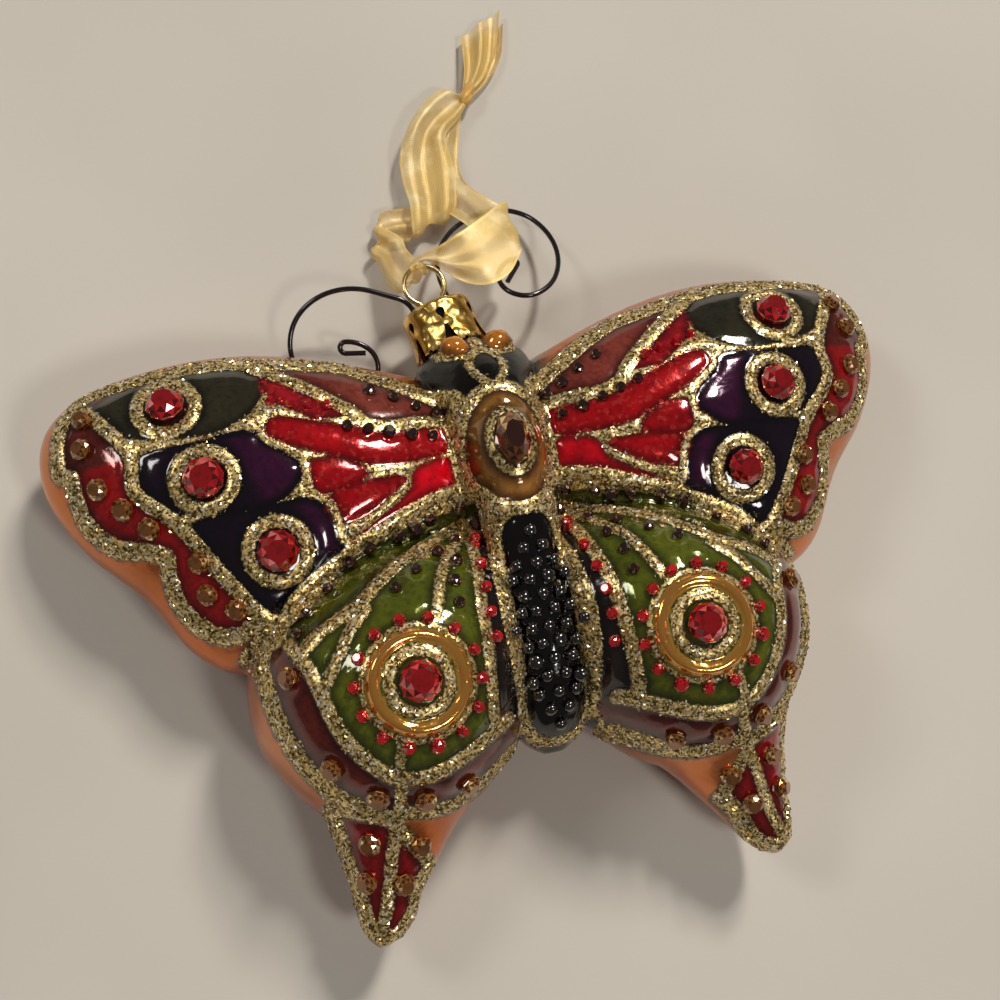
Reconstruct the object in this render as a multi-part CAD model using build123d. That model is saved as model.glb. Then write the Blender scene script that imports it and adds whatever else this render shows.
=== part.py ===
# Butterfly ornament: a hollow blown-glass butterfly with glued faceted stones, a brass crown
# cap, a sprung wire hanger, two curled wire feelers and a knotted organza ribbon.
#
# The ornament lies on its back: +Z is out of the painted front, +Y is toward the head and
# the ribbon, +X is the viewer's right. Lengths are millimetres and angles are degrees.
from build123d import *
from math import cos, hypot, pi, radians, sin, sqrt
import os

os.makedirs("parts", exist_ok=True)

# Glass sizes
half_span = 63.5
wing_height = 86.0
tail_turn = 10.0
glass_wall = 1.3
seam_height = 10.0
forewing_rise = 14.0
forewing_back = 9.9
hindwing_rise = 21.5
hindwing_back = 10.0
body_half_width = 8.6
body_rise = 16.6
body_back = 9.6
body_length = 61.0
medallion_length = 17.0
medallion_width = 11.8
medallion_rise = 1.6
eye_length = 4.4
eye_width = 3.4
eye_rise = 1.7
ridge_radius = 6.0
ridge_wire = 0.75

# Neck, cap and hanger sizes
neck_lean = 11.0
neck_inset = 9.9
neck_radius = 4.8
neck_wall = 1.0
neck_length = 17.0
neck_lip = 0.7
bore_start = 4.0
cap_gap = 0.2
cap_sheet = 0.4
cap_height = 7.4
cap_flare = 0.5
cap_shoulder = 1.0
cap_petals = 6
petal_gap = 2.4
petal_pinch = 0.5
petal_hole = 1.3
petal_notch = 0.8
wire_hole_gap = 0.1
feeler_hole_gap = 0.03
hanger_wire_radius = 0.4
hanger_stand = 0.8
ring_radius = 3.1
ring_bend_radius = 1.0
leg_spacing = 3.2
leg_length = 12.0
leg_straight = 4.1
leg_clearance = 0.35

# Feeler sizes
feeler_wire_radius = 0.4
feeler_tail = 1.8
feeler_stand = 0.4
feeler_offset = 2.9
right_feeler_set_back = 0.5
left_feeler_set_back = 1.0
curl_arcs = 7
right_feeler_reach = 20.6
right_feeler_pitch = 23.0
right_feeler_roll = 5.0
left_feeler_reach = 20.0
left_feeler_pitch = -20.0
left_feeler_roll = -14.0

# Ribbon sizes
ribbon_width = 10.0
ribbon_thickness = 0.35
ribbon_gather = 1.2
ribbon_wrap = 1.2
knot_length = 4.6
knot_width = 2.7
knot_height = 2.6

# Stone sizes
ruby_radius = 2.9
ruby_height = 2.2
amber_radius = 1.65
amber_height = 1.2
red_stone_radius = 1.15
tiny_stone_radius = 0.8
dark_stone_radius = 1.05
small_stone_height = 0.9
black_stone_radius = 1.15
black_stone_spacing = 2.5
navette_length = 10.0
navette_width = 5.2
navette_height = 2.4
stone_ring_radius = 8.3
stone_ring_count = 14
abdomen_patch_width = 10.2
patch_medallion_gap = 3.0
patch_tip_margin = 3.05
glue_line = 0.08
seat_margin = 0.35

# Outlines of the right wings at the mould seam, from the thorax centre: the share of the half
# span, then the share of the wing height
forewing_outline_shares = [
    (-0.05, 0.02), (0.03, 0.13), (0.13, 0.175), (0.295, 0.224), (0.45, 0.257), (0.62, 0.27),
    (0.78, 0.259), (0.905, 0.23), (0.978, 0.183), (1.0, 0.118), (0.987, 0.060), (0.958, 0.012),
    (0.91, -0.042), (0.845, -0.094), (0.8, -0.14), (0.765, -0.188), (0.713, -0.236),
    (0.635, -0.264), (0.5, -0.24), (0.32, -0.18), (0.12, -0.12), (-0.01, -0.07)]
forewing_centre_share = (0.46, 0.0)
hindwing_outline_shares = [
    (-0.03, -0.23), (0.03, -0.14), (0.13, -0.095), (0.26, -0.092), (0.40, -0.12),
    (0.52, -0.165), (0.605, -0.225), (0.64, -0.285), (0.645, -0.345), (0.63, -0.4),
    (0.59, -0.455), (0.54, -0.503), (0.45, -0.548), (0.34, -0.565), (0.235, -0.55),
    (0.145, -0.507), (0.07, -0.445), (0.0, -0.35)]
hindwing_centre_share = (0.315, -0.335)

# Tail of the right hindwing, one row for each slice: the slice's centre as a share of the half
# span and of the wing height, its half width as a share of the half span, then its front and
# back above and below the seam as shares of the hindwing's rise and back
tail_slice_shares = [
    (0.360, -0.500, 0.150, 0.66, 0.78), (0.385, -0.545, 0.140, 0.50, 0.70),
    (0.400, -0.585, 0.112, 0.40, 0.60), (0.418, -0.630, 0.086, 0.32, 0.50),
    (0.435, -0.672, 0.066, 0.25, 0.42), (0.447, -0.704, 0.046, 0.19, 0.32),
    (0.454, -0.722, 0.024, 0.12, 0.20), (0.456, -0.730, 0.008, 0.04, 0.07)]

# Body slices from the abdomen tip to the neck: the share of the body length, of its half
# width, of its rise and of its back
body_start_share = -0.69
body_slice_shares = [
    (0.0, 0.16, 0.10, 0.15), (0.025, 0.42, 0.34, 0.42), (0.07, 0.64, 0.56, 0.66),
    (0.16, 0.80, 0.77, 0.88), (0.32, 0.86, 0.90, 0.98), (0.47, 0.82, 0.95, 1.0),
    (0.56, 0.84, 0.97, 1.0), (0.68, 0.90, 0.99, 1.0), (0.80, 0.96, 0.93, 0.96),
    (0.88, 1.0, 0.78, 0.92), (0.945, 0.97, 0.59, 0.84), (0.985, 0.77, 0.43, 0.63),
    (1.0, 0.53, 0.32, 0.47)]

# Where the eyes and the medallion lie: the share of the body's half width, then the share of
# the body length
medallion_place_share = (0.0, -0.0085)
navette_place_share = (0.0, 0.0)
eye_place_share = (0.384, 0.282)

# Where the stones lie on the wings: the share of the half span, then the share of the wing
# height
hind_ruby_share = (0.307, -0.349)
forewing_ruby_shares = [(0.707, 0.166), (0.654, 0.033), (0.529, -0.100)]
amber_shares = [
    (0.885, 0.176), (0.896, 0.126), (0.874, 0.056), (0.830, 0.015), (0.783, -0.023),
    (0.693, -0.091), (0.687, -0.141), (0.635, -0.173), (0.556, -0.300), (0.504, -0.445),
    (0.422, -0.501), (0.329, -0.520), (0.231, -0.510), (0.450, -0.567), (0.468, -0.624),
    (0.351, -0.586), (0.395, -0.638)]
tiny_stone_shares = [(0.369, 0.123), (0.408, 0.129), (0.447, 0.136), (0.487, 0.144)]
dark_stone_shares = [
    (0.129, 0.086), (0.172, 0.103), (0.217, 0.123), (0.266, 0.142), (0.151, 0.047),
    (0.198, 0.053), (0.246, 0.062), (0.290, 0.071), (0.334, 0.081), (0.094, -0.109),
    (0.110, -0.069), (0.191, -0.086), (0.228, -0.098), (0.270, -0.108), (0.334, -0.126),
    (0.376, -0.142), (0.439, -0.174), (0.494, -0.207), (0.521, -0.236), (0.202, -0.152),
    (0.258, -0.177), (0.310, -0.201), (0.153, -0.133), (0.169, -0.172), (0.187, -0.206),
    (0.191, -0.242)]
strip_stone_shares = [
    (0.105, -0.142), (0.117, -0.183), (0.124, -0.223), (0.128, -0.263), (0.128, -0.302),
    (0.124, -0.344)]

# Feeler paths from the cap in their own leaning planes, as shares of each reach, then the end
# of the hairpin and the share of the straight tip
right_feeler_shares = [
    (0.044, 0.335), (0.199, 0.592), (0.354, 0.704), (0.563, 0.772), (0.777, 0.752),
    (0.932, 0.626), (1.000, 0.408), (0.975, 0.170), (0.840, -0.058), (0.675, -0.160),
    (0.534, -0.142), (0.436, -0.034), (0.427, 0.125), (0.500, 0.207), (0.592, 0.231)]
right_hairpin_share = (0.629, 0.163)
right_tip_share = 0.19
left_feeler_shares = [
    (-0.115, 0.165), (-0.335, 0.315), (-0.590, 0.360), (-0.820, 0.285), (-0.970, 0.080),
    (-0.935, -0.250), (-0.735, -0.425), (-0.510, -0.390), (-0.390, -0.225), (-0.465, -0.055),
    (-0.565, -0.027)]
left_hairpin_share = (-0.590, -0.112)
left_tip_share = 0.15

# Ribbon edges, left then right, as shares of the ribbon width: across and along from the place
# where the ribbon hooks over the ring at rest, and up from the floor. The lower strand runs
# from the knot to the ring and the upper strand runs from the ring to the knot. A row that
# ends with 1 is a fold that turns up and one that ends with -1 is a fold that turns down.
hook_share = (-0.466, 3.295)
lower_strand_shares = [
    ((0.94, 6.44, 0.30), (1.06, 6.26, 0.26)), ((0.76, 6.54, 0.34), (0.94, 6.10, 0.26)),
    ((0.54, 6.46, 0.36), (0.82, 5.96, 0.26)), ((0.22, 6.18, 0.42), (0.66, 5.80, 0.34)),
    ((-0.06, 5.82, 0.40), (0.56, 5.62, 0.40)), ((-0.24, 5.41, 0.36), (0.59, 5.26, 0.40)),
    ((-0.27, 5.00, 0.34), (0.59, 4.96, 0.38)), ((-0.24, 4.61, 0.34), (0.52, 4.56, 0.38)),
    ((-0.28, 4.24, 0.34), (0.47, 4.44, 0.38)), ((-0.29, 4.09, 0.30), (0.45, 4.34, 0.31), -1),
    ((-0.30, 4.13, 0.22), (0.42, 4.38, 0.22)), ((-0.32, 4.09, 0.16), (0.05, 4.60, 0.16)),
    ((-0.34, 4.08, 0.14), (-0.26, 4.62, 0.14)), ((-0.50, 4.09, 0.16), (-0.52, 4.60, 0.20)),
    ((-0.68, 4.06, 0.17), (-0.73, 4.56, 0.18)), ((-0.98, 3.86, 0.24), (-0.76, 4.38, 0.25), 1),
    ((-0.92, 3.72, 0.31), (-0.50, 4.12, 0.33)), ((-0.90, 3.45, 0.44), (-0.46, 3.85, 0.44)),
    ((-0.86, 3.18, 0.62), (-0.34, 3.56, 0.58)), ((-0.72, 3.02, 0.78), (-0.26, 3.36, 0.72)),
    ((-0.56, 3.13, 0.88), (-0.32, 3.18, 0.88))]
upper_strand_shares = [
    ((-0.36, 3.44, 1.12), (-0.19, 3.26, 1.12)), ((-0.06, 3.54, 1.09), (0.16, 2.96, 1.08)),
    ((0.34, 3.76, 1.02), (0.54, 2.82, 1.13)), ((0.76, 4.02, 0.88), (0.90, 2.94, 1.12)),
    ((1.06, 4.24, 0.72), (1.16, 3.26, 1.04)), ((1.22, 4.32, 0.62), (1.24, 3.42, 0.94), -1),
    ((1.16, 4.36, 0.52), (1.12, 3.54, 0.84)), ((0.95, 4.55, 0.46), (0.76, 3.72, 0.66)),
    ((0.72, 4.87, 0.34), (0.54, 4.12, 0.42)), ((0.72, 5.20, 0.18), (0.14, 4.70, 0.18)),
    ((0.80, 5.60, 0.15), (0.12, 5.46, 0.15)), ((0.90, 5.96, 0.18), (0.42, 5.90, 0.15)),
    ((0.98, 6.18, 0.22), (0.80, 6.20, 0.20)), ((1.09, 6.29, 0.22), (0.98, 6.36, 0.20))]
first_tail_shares = [
    ((1.04, 6.52, 0.26), (1.18, 6.46, 0.26)), ((1.14, 6.85, 0.24), (1.52, 6.76, 0.24)),
    ((1.19, 7.15, 0.20), (1.76, 7.18, 0.24)), ((1.24, 7.50, 0.18), (1.99, 7.92, 0.16))]
second_tail_shares = [
    ((1.08, 6.50, 0.17), (1.22, 6.42, 0.17)), ((1.18, 6.82, 0.13), (1.56, 6.70, 0.14)),
    ((1.26, 7.12, 0.10), (1.84, 7.10, 0.12)), ((1.36, 7.44, 0.08), (2.02, 7.70, 0.08))]
knot_place_share = (1.10, 6.42, 0.25)


def place(share):
    """Point on the front, from shares of the half span and of the wing height."""
    return (share[0] * half_span, share[1] * wing_height)


def body_place(share):
    """Point on the front, from shares of the body's half width and of its length."""
    return (share[0] * body_half_width, share[1] * body_length)


def slice_wire(points, centre, share, height):
    """Closed smooth outline drawn in toward a centre, level at a height."""
    drawn = [
        Vector(centre[0] + (x - centre[0]) * share, centre[1] + (y - centre[1]) * share, height)
        for x, y in points]
    return Wire([Edge.make_spline(drawn, periodic=True)])


def pillow(points, centre, front, back, base, side=0.0, lean_angles=(0, 20, 38, 55, 71, 85)):
    """Puffed form over an outline: rounded to a front and a back from its widest level.

    side is how far the outline is drawn in for an inner wall.
    """
    reach = max(hypot(x - centre[0], y - centre[1]) for x, y in points)
    near = min(hypot(x - centre[0], y - centre[1]) for x, y in points)
    widest = 1 - 2 * side / (reach + near)
    wires = []
    for angle in reversed(lean_angles[1:]):
        share = widest * cos(radians(angle))
        wires.append(slice_wire(points, centre, share, base - (back - side) * sin(radians(angle))))
    for angle in lean_angles:
        share = widest * cos(radians(angle))
        wires.append(slice_wire(points, centre, share, base + (front - side) * sin(radians(angle))))
    return Solid.make_loft(wires)


def oval_wire(centre, half_width, front, back, angle=0.0):
    """Upright oval, square to the Y axis or turned by an angle about Z."""
    middle = Vector(centre[0], centre[1], seam_height + (front - back) / 2)
    turn = Vector(cos(radians(angle)), sin(radians(angle)), 0)
    plane = Plane(origin=middle, x_dir=turn, z_dir=turn.cross(Vector(0, 0, 1)))
    half_height = (front + back) / 2
    if half_width >= half_height:
        ring = Edge.make_ellipse(half_width, half_height, plane)
    else:
        upright = Plane(origin=middle, x_dir=Vector(0, 0, 1), z_dir=plane.z_dir)
        ring = Edge.make_ellipse(half_height, half_width, upright)
    return Wire([ring])


def body_form(side):
    """Head, thorax and abdomen in one loft, drawn in by a wall for the inside."""
    wires = []
    for along, wide, high, deep in body_slice_shares:
        y = body_start_share * body_length + along * (body_length - 2 * side) + side
        wires.append(oval_wire(
            (0, y), wide * body_half_width - side, high * body_rise - side, deep * body_back - side))
    return Solid.make_loft(wires)


def tail_form(side):
    """Tail of the right hindwing, lofted from its root to its tip."""
    wires = []
    for across, along, wide, high, deep in tail_slice_shares:
        if wide * half_span > 1.6 * side:
            wires.append(oval_wire(
                place((across, along)), wide * half_span - side,
                high * hindwing_rise - side / 2, deep * hindwing_back - side / 2, tail_turn))
    return Solid.make_loft(wires)


def ellipse_points(centre, half_x, half_y, count=12):
    return [
        (centre[0] + half_x * cos(2 * pi * k / count), centre[1] + half_y * sin(2 * pi * k / count))
        for k in range(count)]


def glass_form(side):
    """Whole butterfly without its neck, drawn in by a wall for the inside."""
    forewing = pillow(
        [place(share) for share in forewing_outline_shares], place(forewing_centre_share),
        forewing_rise, forewing_back, seam_height, side)
    hindwing = pillow(
        [place(share) for share in hindwing_outline_shares], place(hindwing_centre_share),
        hindwing_rise, hindwing_back, seam_height, side)
    tail = tail_form(side)
    wing = forewing.fuse(hindwing, tail)
    return body_form(side).fuse(wing, wing.mirror(Plane.YZ))


# Local frame of the leaning neck: Z runs up the neck and X is to the viewer's right
neck_axis = Vector(-sin(radians(neck_lean)), cos(radians(neck_lean)), 0)
neck_side = Vector(cos(radians(neck_lean)), sin(radians(neck_lean)), 0)
head_end = (1 + body_start_share) * body_length
neck_root = Vector(0, head_end - neck_inset, seam_height)
neck_plane = Plane(origin=neck_root, x_dir=neck_side, z_dir=neck_axis)
plate_inside = neck_length + cap_gap
plate_outside = plate_inside + cap_sheet
skirt_end = plate_outside - cap_height
bore_radius = neck_radius - neck_wall


def on_neck(shape):
    """Move a shape drawn along Z onto the leaning neck."""
    return shape.moved(neck_plane.location)


def neck_point(across, along, raised=0.0):
    """Point across and along the neck, raised toward the front."""
    return neck_root + neck_side * across + neck_axis * along + Vector(0, 0, raised)


def turned(points):
    """Solid of revolution about Z from a profile of straight lines and marked round corners."""
    edges = []
    here = points[0][:2]
    for row in points[1:] + points[:1]:
        there = row[:2]
        start = Vector(here[0], 0, here[1])
        end = Vector(there[0], 0, there[1])
        if len(row) > 2:
            middle = Vector(row[2], 0, row[3])
            edges.append(Edge.make_three_point_arc(start, middle, end))
        else:
            edges.append(Edge.make_line(start, end))
        here = there
    return Solid.revolve(Face(Wire(edges)), 360, Axis.Z)


def shoulder_row(radius, top, corner):
    """End of a round corner from the top face down to the side, with its middle point."""
    slack = corner * (1 - sqrt(2) / 2)
    return (radius, top - corner, radius - slack, top - slack)


def front_hit(body, x, y):
    """Point on the front of a body at a place, and the direction out of its surface."""
    hits = body.find_intersection_points(Axis(Vector(x, y, wing_height), Vector(0, 0, -1)))
    point, normal = max(hits, key=lambda hit: hit[0].Z)
    if normal.Z < 0:
        normal = -normal
    return point, normal


# Glass: the butterfly, its neck, the thorax boss, the eyes and the gold ridge rings
outer_form = glass_form(0.0)
thorax_top, thorax_out = front_hit(outer_form, *body_place(medallion_place_share))
boss_base = thorax_top.Z - medallion_width / 2
boss = pillow(
    ellipse_points(body_place(medallion_place_share), medallion_width / 2, medallion_length / 2),
    body_place(medallion_place_share), thorax_top.Z + medallion_rise - boss_base, medallion_rise,
    boss_base)
eyes = []
for side in (-1, 1):
    eye_x, eye_y = body_place(eye_place_share)
    eye_foot, eye_out = front_hit(outer_form, side * eye_x, eye_y)
    eyes.append(pillow(
        ellipse_points((side * eye_x, eye_y), eye_length / 2, eye_width / 2),
        (side * eye_x, eye_y), eye_rise, eye_rise, eye_foot.Z))
neck_form = on_neck(turned([
    (0, 0), (neck_radius, 0), (neck_radius, neck_length - neck_lip),
    (neck_radius - neck_lip, neck_length,
     neck_radius - neck_lip * (1 - sqrt(2) / 2), neck_length - neck_lip * (1 - sqrt(2) / 2)),
    (0, neck_length)]))
front_form = outer_form.fuse(boss)
ridges = []
for side in (-1, 1):
    ruby_x, ruby_y = place(hind_ruby_share)
    crest = []
    for k in range(8):
        angle = 2 * pi * k / 8
        crest.append(front_hit(
            outer_form, side * ruby_x + ridge_radius * cos(angle),
            ruby_y + ridge_radius * sin(angle))[0])
    lean = (crest[0] - crest[4]).cross(crest[2] - crest[6]).normalized()
    ridge_middle = sum(crest, Vector(0, 0, 0)) / 8
    ridges.append(Solid.make_torus(ridge_radius, ridge_wire, Plane(ridge_middle, z_dir=lean)))
inner_form = glass_form(glass_wall)
bore = on_neck(turned([
    (0, bore_start), (bore_radius, bore_start), (bore_radius, neck_length + neck_lip),
    (0, neck_length + neck_lip)]))
glass_shell = front_form.fuse(neck_form, *eyes, *ridges).cut(inner_form, bore)


# Cap: a thin revolved crown with petals, pierced for the hanger and the feelers
flare_start = skirt_end + cap_height * 0.45
cap_inside = neck_radius + cap_gap
cap_outside = cap_inside + cap_sheet
flare_middle = (flare_start + skirt_end) / 2
inner_corner = cap_shoulder - cap_sheet
cap_blank = turned([
    (0, plate_inside), (cap_inside - inner_corner, plate_inside),
    shoulder_row(cap_inside, plate_inside, inner_corner), (cap_inside, flare_start),
    (cap_inside + cap_flare, skirt_end, cap_inside + cap_flare / 4, flare_middle),
    (cap_outside + cap_flare, skirt_end),
    (cap_outside, flare_start, cap_outside + cap_flare / 4, flare_middle),
    (cap_outside, plate_outside - cap_shoulder),
    (cap_outside - cap_shoulder, plate_outside, cap_outside - cap_shoulder * (1 - sqrt(2) / 2),
     plate_outside - cap_shoulder * (1 - sqrt(2) / 2)),
    (0, plate_outside)])


def radial_cutter(points, angle):
    """Prism cut outward through the cap's side, drawn as across and along pairs."""
    near = Vector(neck_radius / 2, 0, 0)
    face = Face(Wire.make_polygon([near + Vector(0, across, along) for across, along in points]))
    return Solid.extrude(face, Vector(neck_radius, 0, 0)).rotate(Axis.Z, angle)


petal_turn = -97.0
pinch_top = skirt_end + cap_height * 0.42
hole_middle = skirt_end + cap_height * 0.70
cap_cutters = []
for k in range(cap_petals):
    turn = petal_turn + 360 * k / cap_petals
    cap_cutters.append(radial_cutter(
        [(-petal_gap / 2, skirt_end - cap_sheet), (petal_gap / 2, skirt_end - cap_sheet),
         (petal_pinch / 2, pinch_top), (-petal_pinch / 2, pinch_top)], turn))
    drop = [
        (petal_hole / 2 * sin(radians(a)), hole_middle + petal_hole / 2 * cos(radians(a)))
        for a in range(-120, 121, 30)]
    cap_cutters.append(radial_cutter(drop + [(0, hole_middle - petal_hole)], turn))
    for lean in (-1, 1):
        notch = [
            (petal_notch / 2 * sin(radians(a)), skirt_end + petal_notch / 2 * cos(radians(a)))
            for a in range(-120, 121, 60)]
        cap_cutters.append(radial_cutter(notch, turn + 180 / cap_petals + lean * 8))
for across in (-leg_spacing / 2, leg_spacing / 2):
    cap_cutters.append(Solid.make_cylinder(
        hanger_wire_radius + wire_hole_gap, 2 * cap_height,
        Plane(origin=Vector(across, 0, skirt_end), z_dir=Vector(0, 0, 1))))


def feeler_plane(offset, pitch, roll, set_back):
    """Leaning plane of a feeler: Y runs up out of the cap and X to the viewer's right."""
    rise = neck_axis * cos(radians(pitch)) - Vector(0, 0, 1) * sin(radians(pitch))
    across = neck_side * cos(radians(roll)) - Vector(0, 0, 1) * sin(radians(roll))
    normal = across.cross(rise).normalized()
    return Plane(
        origin=neck_point(offset, plate_outside + feeler_stand, -set_back),
        x_dir=rise.cross(normal), z_dir=normal)


def wire_along(edges, radius):
    """Round wire swept along joined edges."""
    path = Wire(edges)
    face = Face(Wire([Edge.make_circle(radius, Plane(origin=path @ 0, z_dir=path % 0))]))
    return Solid.sweep(face, path)


def joined_arcs(curve, count):
    """Pairs of smoothly joined arcs that follow a level curve."""
    arcs = []
    for k in range(count):
        start = curve @ (k / count)
        end = curve @ ((k + 1) / count)
        start_way = curve % (k / count)
        end_way = curve % ((k + 1) / count)
        chord = end - start
        bend = 2 * (start_way.dot(end_way) - 1)
        pull = 2 * chord.dot(start_way + end_way)
        reach = (pull - sqrt(pull ** 2 - 4 * bend * chord.dot(chord))) / (2 * bend)
        middle = (start + start_way * reach + end - end_way * reach) / 2
        arcs.append(Edge.make_tangent_arc(start, start_way, middle))
        arcs.append(Edge.make_tangent_arc(middle, arcs[-1] % 1, end))
    return arcs


def feeler(plane, shares, reach, hairpin_share, tip_share):
    """Straight tail in the cap, a sweeping curl, a hairpin and a straight tip."""
    def at(share):
        return plane.from_local_coords(Vector(share[0] * reach, share[1] * reach, 0))
    foot = at((0, 0))
    tail = Edge.make_line(foot - plane.y_dir * feeler_tail, foot)
    last = (at(shares[-1]) - at(shares[-2])).normalized()
    curl = Edge.make_spline([foot] + [at(share) for share in shares], tangents=[plane.y_dir, last])
    bend = Edge.make_tangent_arc(at(shares[-1]), curl % 1, at(hairpin_share))
    tip = Edge.make_line(bend @ 1, bend @ 1 + (bend % 1) * reach * tip_share)
    return wire_along([tail, *joined_arcs(curl, curl_arcs), bend, tip], feeler_wire_radius)


right_plane = feeler_plane(
    feeler_offset, right_feeler_pitch, right_feeler_roll, right_feeler_set_back)
left_plane = feeler_plane(
    -feeler_offset, left_feeler_pitch, left_feeler_roll, left_feeler_set_back)
right_feeler = feeler(
    right_plane, right_feeler_shares, right_feeler_reach, right_hairpin_share, right_tip_share)
left_feeler = feeler(
    left_plane, left_feeler_shares, left_feeler_reach, left_hairpin_share, left_tip_share)
cap_blank = on_neck(cap_blank.cut(*cap_cutters))
for plane in (right_plane, left_plane):
    start = plane.origin - plane.y_dir * feeler_tail
    cap_blank = cap_blank.cut(Solid.make_cylinder(
        feeler_wire_radius + feeler_hole_gap, 2 * feeler_tail,
        Plane(origin=start, z_dir=plane.y_dir)))
ornament_cap = cap_blank

# Hanger: a sprung wire ring whose legs pass through the cap and spread inside the neck
ring_level = plate_outside + hanger_stand + sqrt(
    (ring_radius + ring_bend_radius) ** 2 - (leg_spacing / 2 + ring_bend_radius) ** 2)
bend_level = plate_outside + hanger_stand
bend_across = leg_spacing / 2 + ring_bend_radius
meet_share = ring_radius / (ring_radius + ring_bend_radius)
meet_across = bend_across * meet_share
meet_level = ring_level - (ring_level - bend_level) * meet_share
leg_spread = bore_radius - hanger_wire_radius - leg_clearance


def bend_middle(side):
    """Middle of the small bend between a leg and the ring."""
    chord_across = (leg_spacing / 2 + meet_across) / 2 - bend_across
    chord_level = (bend_level + meet_level) / 2 - bend_level
    length = hypot(chord_across, chord_level)
    return neck_point(
        side * (bend_across + chord_across * ring_bend_radius / length),
        bend_level + chord_level * ring_bend_radius / length)


def leg_top(side):
    return neck_point(side * leg_spacing / 2, bend_level)


def leg_knee(side):
    return neck_point(side * leg_spacing / 2, bend_level - leg_straight)


def leg_foot(side):
    return neck_point(side * leg_spread, bend_level - leg_length)


right_leg = Edge.make_tangent_arc(leg_knee(1), -neck_axis, leg_foot(1))
left_leg = Edge.make_tangent_arc(leg_knee(-1), -neck_axis, leg_foot(-1))
hanger_wire = wire_along([
    Edge.make_three_point_arc(left_leg @ 1, left_leg @ 0.5, left_leg @ 0),
    Edge.make_line(leg_knee(-1), leg_top(-1)),
    Edge.make_three_point_arc(leg_top(-1), bend_middle(-1), neck_point(-meet_across, meet_level)),
    Edge.make_three_point_arc(
        neck_point(-meet_across, meet_level), neck_point(0, ring_level + ring_radius),
        neck_point(meet_across, meet_level)),
    Edge.make_three_point_arc(neck_point(meet_across, meet_level), bend_middle(1), leg_top(1)),
    Edge.make_line(leg_top(1), leg_knee(1)), right_leg], hanger_wire_radius)

# Ribbon: a folded loop through the ring, a knot and two tails
ring_top = neck_point(0, ring_level + ring_radius)


def ribbon_point(share):
    """Point of the ribbon from its shares of the ribbon width."""
    across, along, up = share
    return Vector(
        ring_top.X + (across - hook_share[0]) * ribbon_width,
        ring_top.Y + (along - hook_share[1]) * ribbon_width, up * ribbon_width)


def flat_face(points):
    return Face(Wire.make_polygon(points))


def strip(sections):
    """Thin strip through pairs of left and right edge points, in flat facets."""
    middles = [(row[0] + row[1]) / 2 for row in sections]
    rings = []
    for k, (left, right, *fold) in enumerate(sections):
        if fold:
            travel = Vector(0, 0, fold[0])
        else:
            travel = middles[min(k + 1, len(sections) - 1)] - middles[max(k - 1, 0)]
        half = (right - left).cross(travel).normalized() * ribbon_thickness / 2
        rings.append([left + half, right + half, right - half, left - half])
    faces = [flat_face(rings[0]), flat_face(rings[-1])]
    for here, there in zip(rings, rings[1:]):
        for k in range(4):
            across = (k + 1) % 4
            faces.append(flat_face([here[k], here[across], there[across]]))
            faces.append(flat_face([here[k], there[across], there[k]]))
    return Solid(Shell(faces))


def ribbon_sections(rows):
    return [(ribbon_point(row[0]), ribbon_point(row[1]), *row[2:]) for row in rows]


hook_sections = []
for angle in (180, 125, 75):
    middle = ring_top + neck_axis * ribbon_wrap * cos(radians(angle))
    middle = middle + Vector(0, 0, ribbon_wrap * sin(radians(angle)))
    hook_sections.append((middle - neck_side * ribbon_gather, middle + neck_side * ribbon_gather))
ribbon_loop = strip(
    ribbon_sections(lower_strand_shares) + hook_sections + ribbon_sections(upper_strand_shares))
ribbon_tails = [
    strip(ribbon_sections(first_tail_shares)), strip(ribbon_sections(second_tail_shares))]


def knot_lobe(turn, long_share, wide_share):
    """One rounded lobe of the knot, turned about its middle."""
    middle = ribbon_point(knot_place_share)
    half_long = knot_length / 2 * long_share
    half_wide = knot_width / 2 * wide_share
    points = []
    for x, y in ellipse_points((0, 0), half_long, half_wide):
        points.append((
            middle.X + x * cos(radians(turn)) - y * sin(radians(turn)),
            middle.Y + x * sin(radians(turn)) + y * cos(radians(turn))))
    return pillow(points, (middle.X, middle.Y), knot_height / 2, knot_height / 2, middle.Z)


ribbon_knot = knot_lobe(60, 1.0, 1.0).fuse(knot_lobe(-15, 0.8, 0.9))


# Stones, each seated on the glass along the direction out of the surface
def facet_ring(outline, share, height):
    return Wire.make_polygon([Vector(x * share, y * share, height) for x, y in outline])


def round_outline(sides, radius):
    return [
        (radius * cos(2 * pi * k / sides), radius * sin(2 * pi * k / sides)) for k in range(sides)]


def cut_stone(outline, height):
    """Flat-backed stone with a girdle and a table."""
    return Solid.make_loft([
        facet_ring(outline, 0.9, 0), facet_ring(outline, 1, height * 0.3),
        facet_ring(outline, 0.56, height)], ruled=True)


def small_stone(outline, height):
    """Flat-backed stone with one row of facets."""
    return Solid.make_loft(
        [facet_ring(outline, 1, 0), facet_ring(outline, 0.5, height)], ruled=True)


ruby = cut_stone(round_outline(8, ruby_radius), ruby_height)
amber = cut_stone(round_outline(8, amber_radius), amber_height)
red_stone = small_stone(round_outline(6, red_stone_radius), small_stone_height)
tiny_stone = small_stone(round_outline(6, tiny_stone_radius), small_stone_height)
dark_stone = small_stone(round_outline(6, dark_stone_radius), small_stone_height)
black_stone = small_stone(round_outline(6, black_stone_radius), small_stone_height)
navette = cut_stone([
    (navette_width / 2 * across, navette_length / 2 * along)
    for across, along in [
        (0, -1), (0.62, -0.6), (1, 0), (0.62, 0.6), (0, 1), (-0.62, 0.6), (-1, 0),
        (-0.62, -0.6)]], navette_height)


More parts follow.
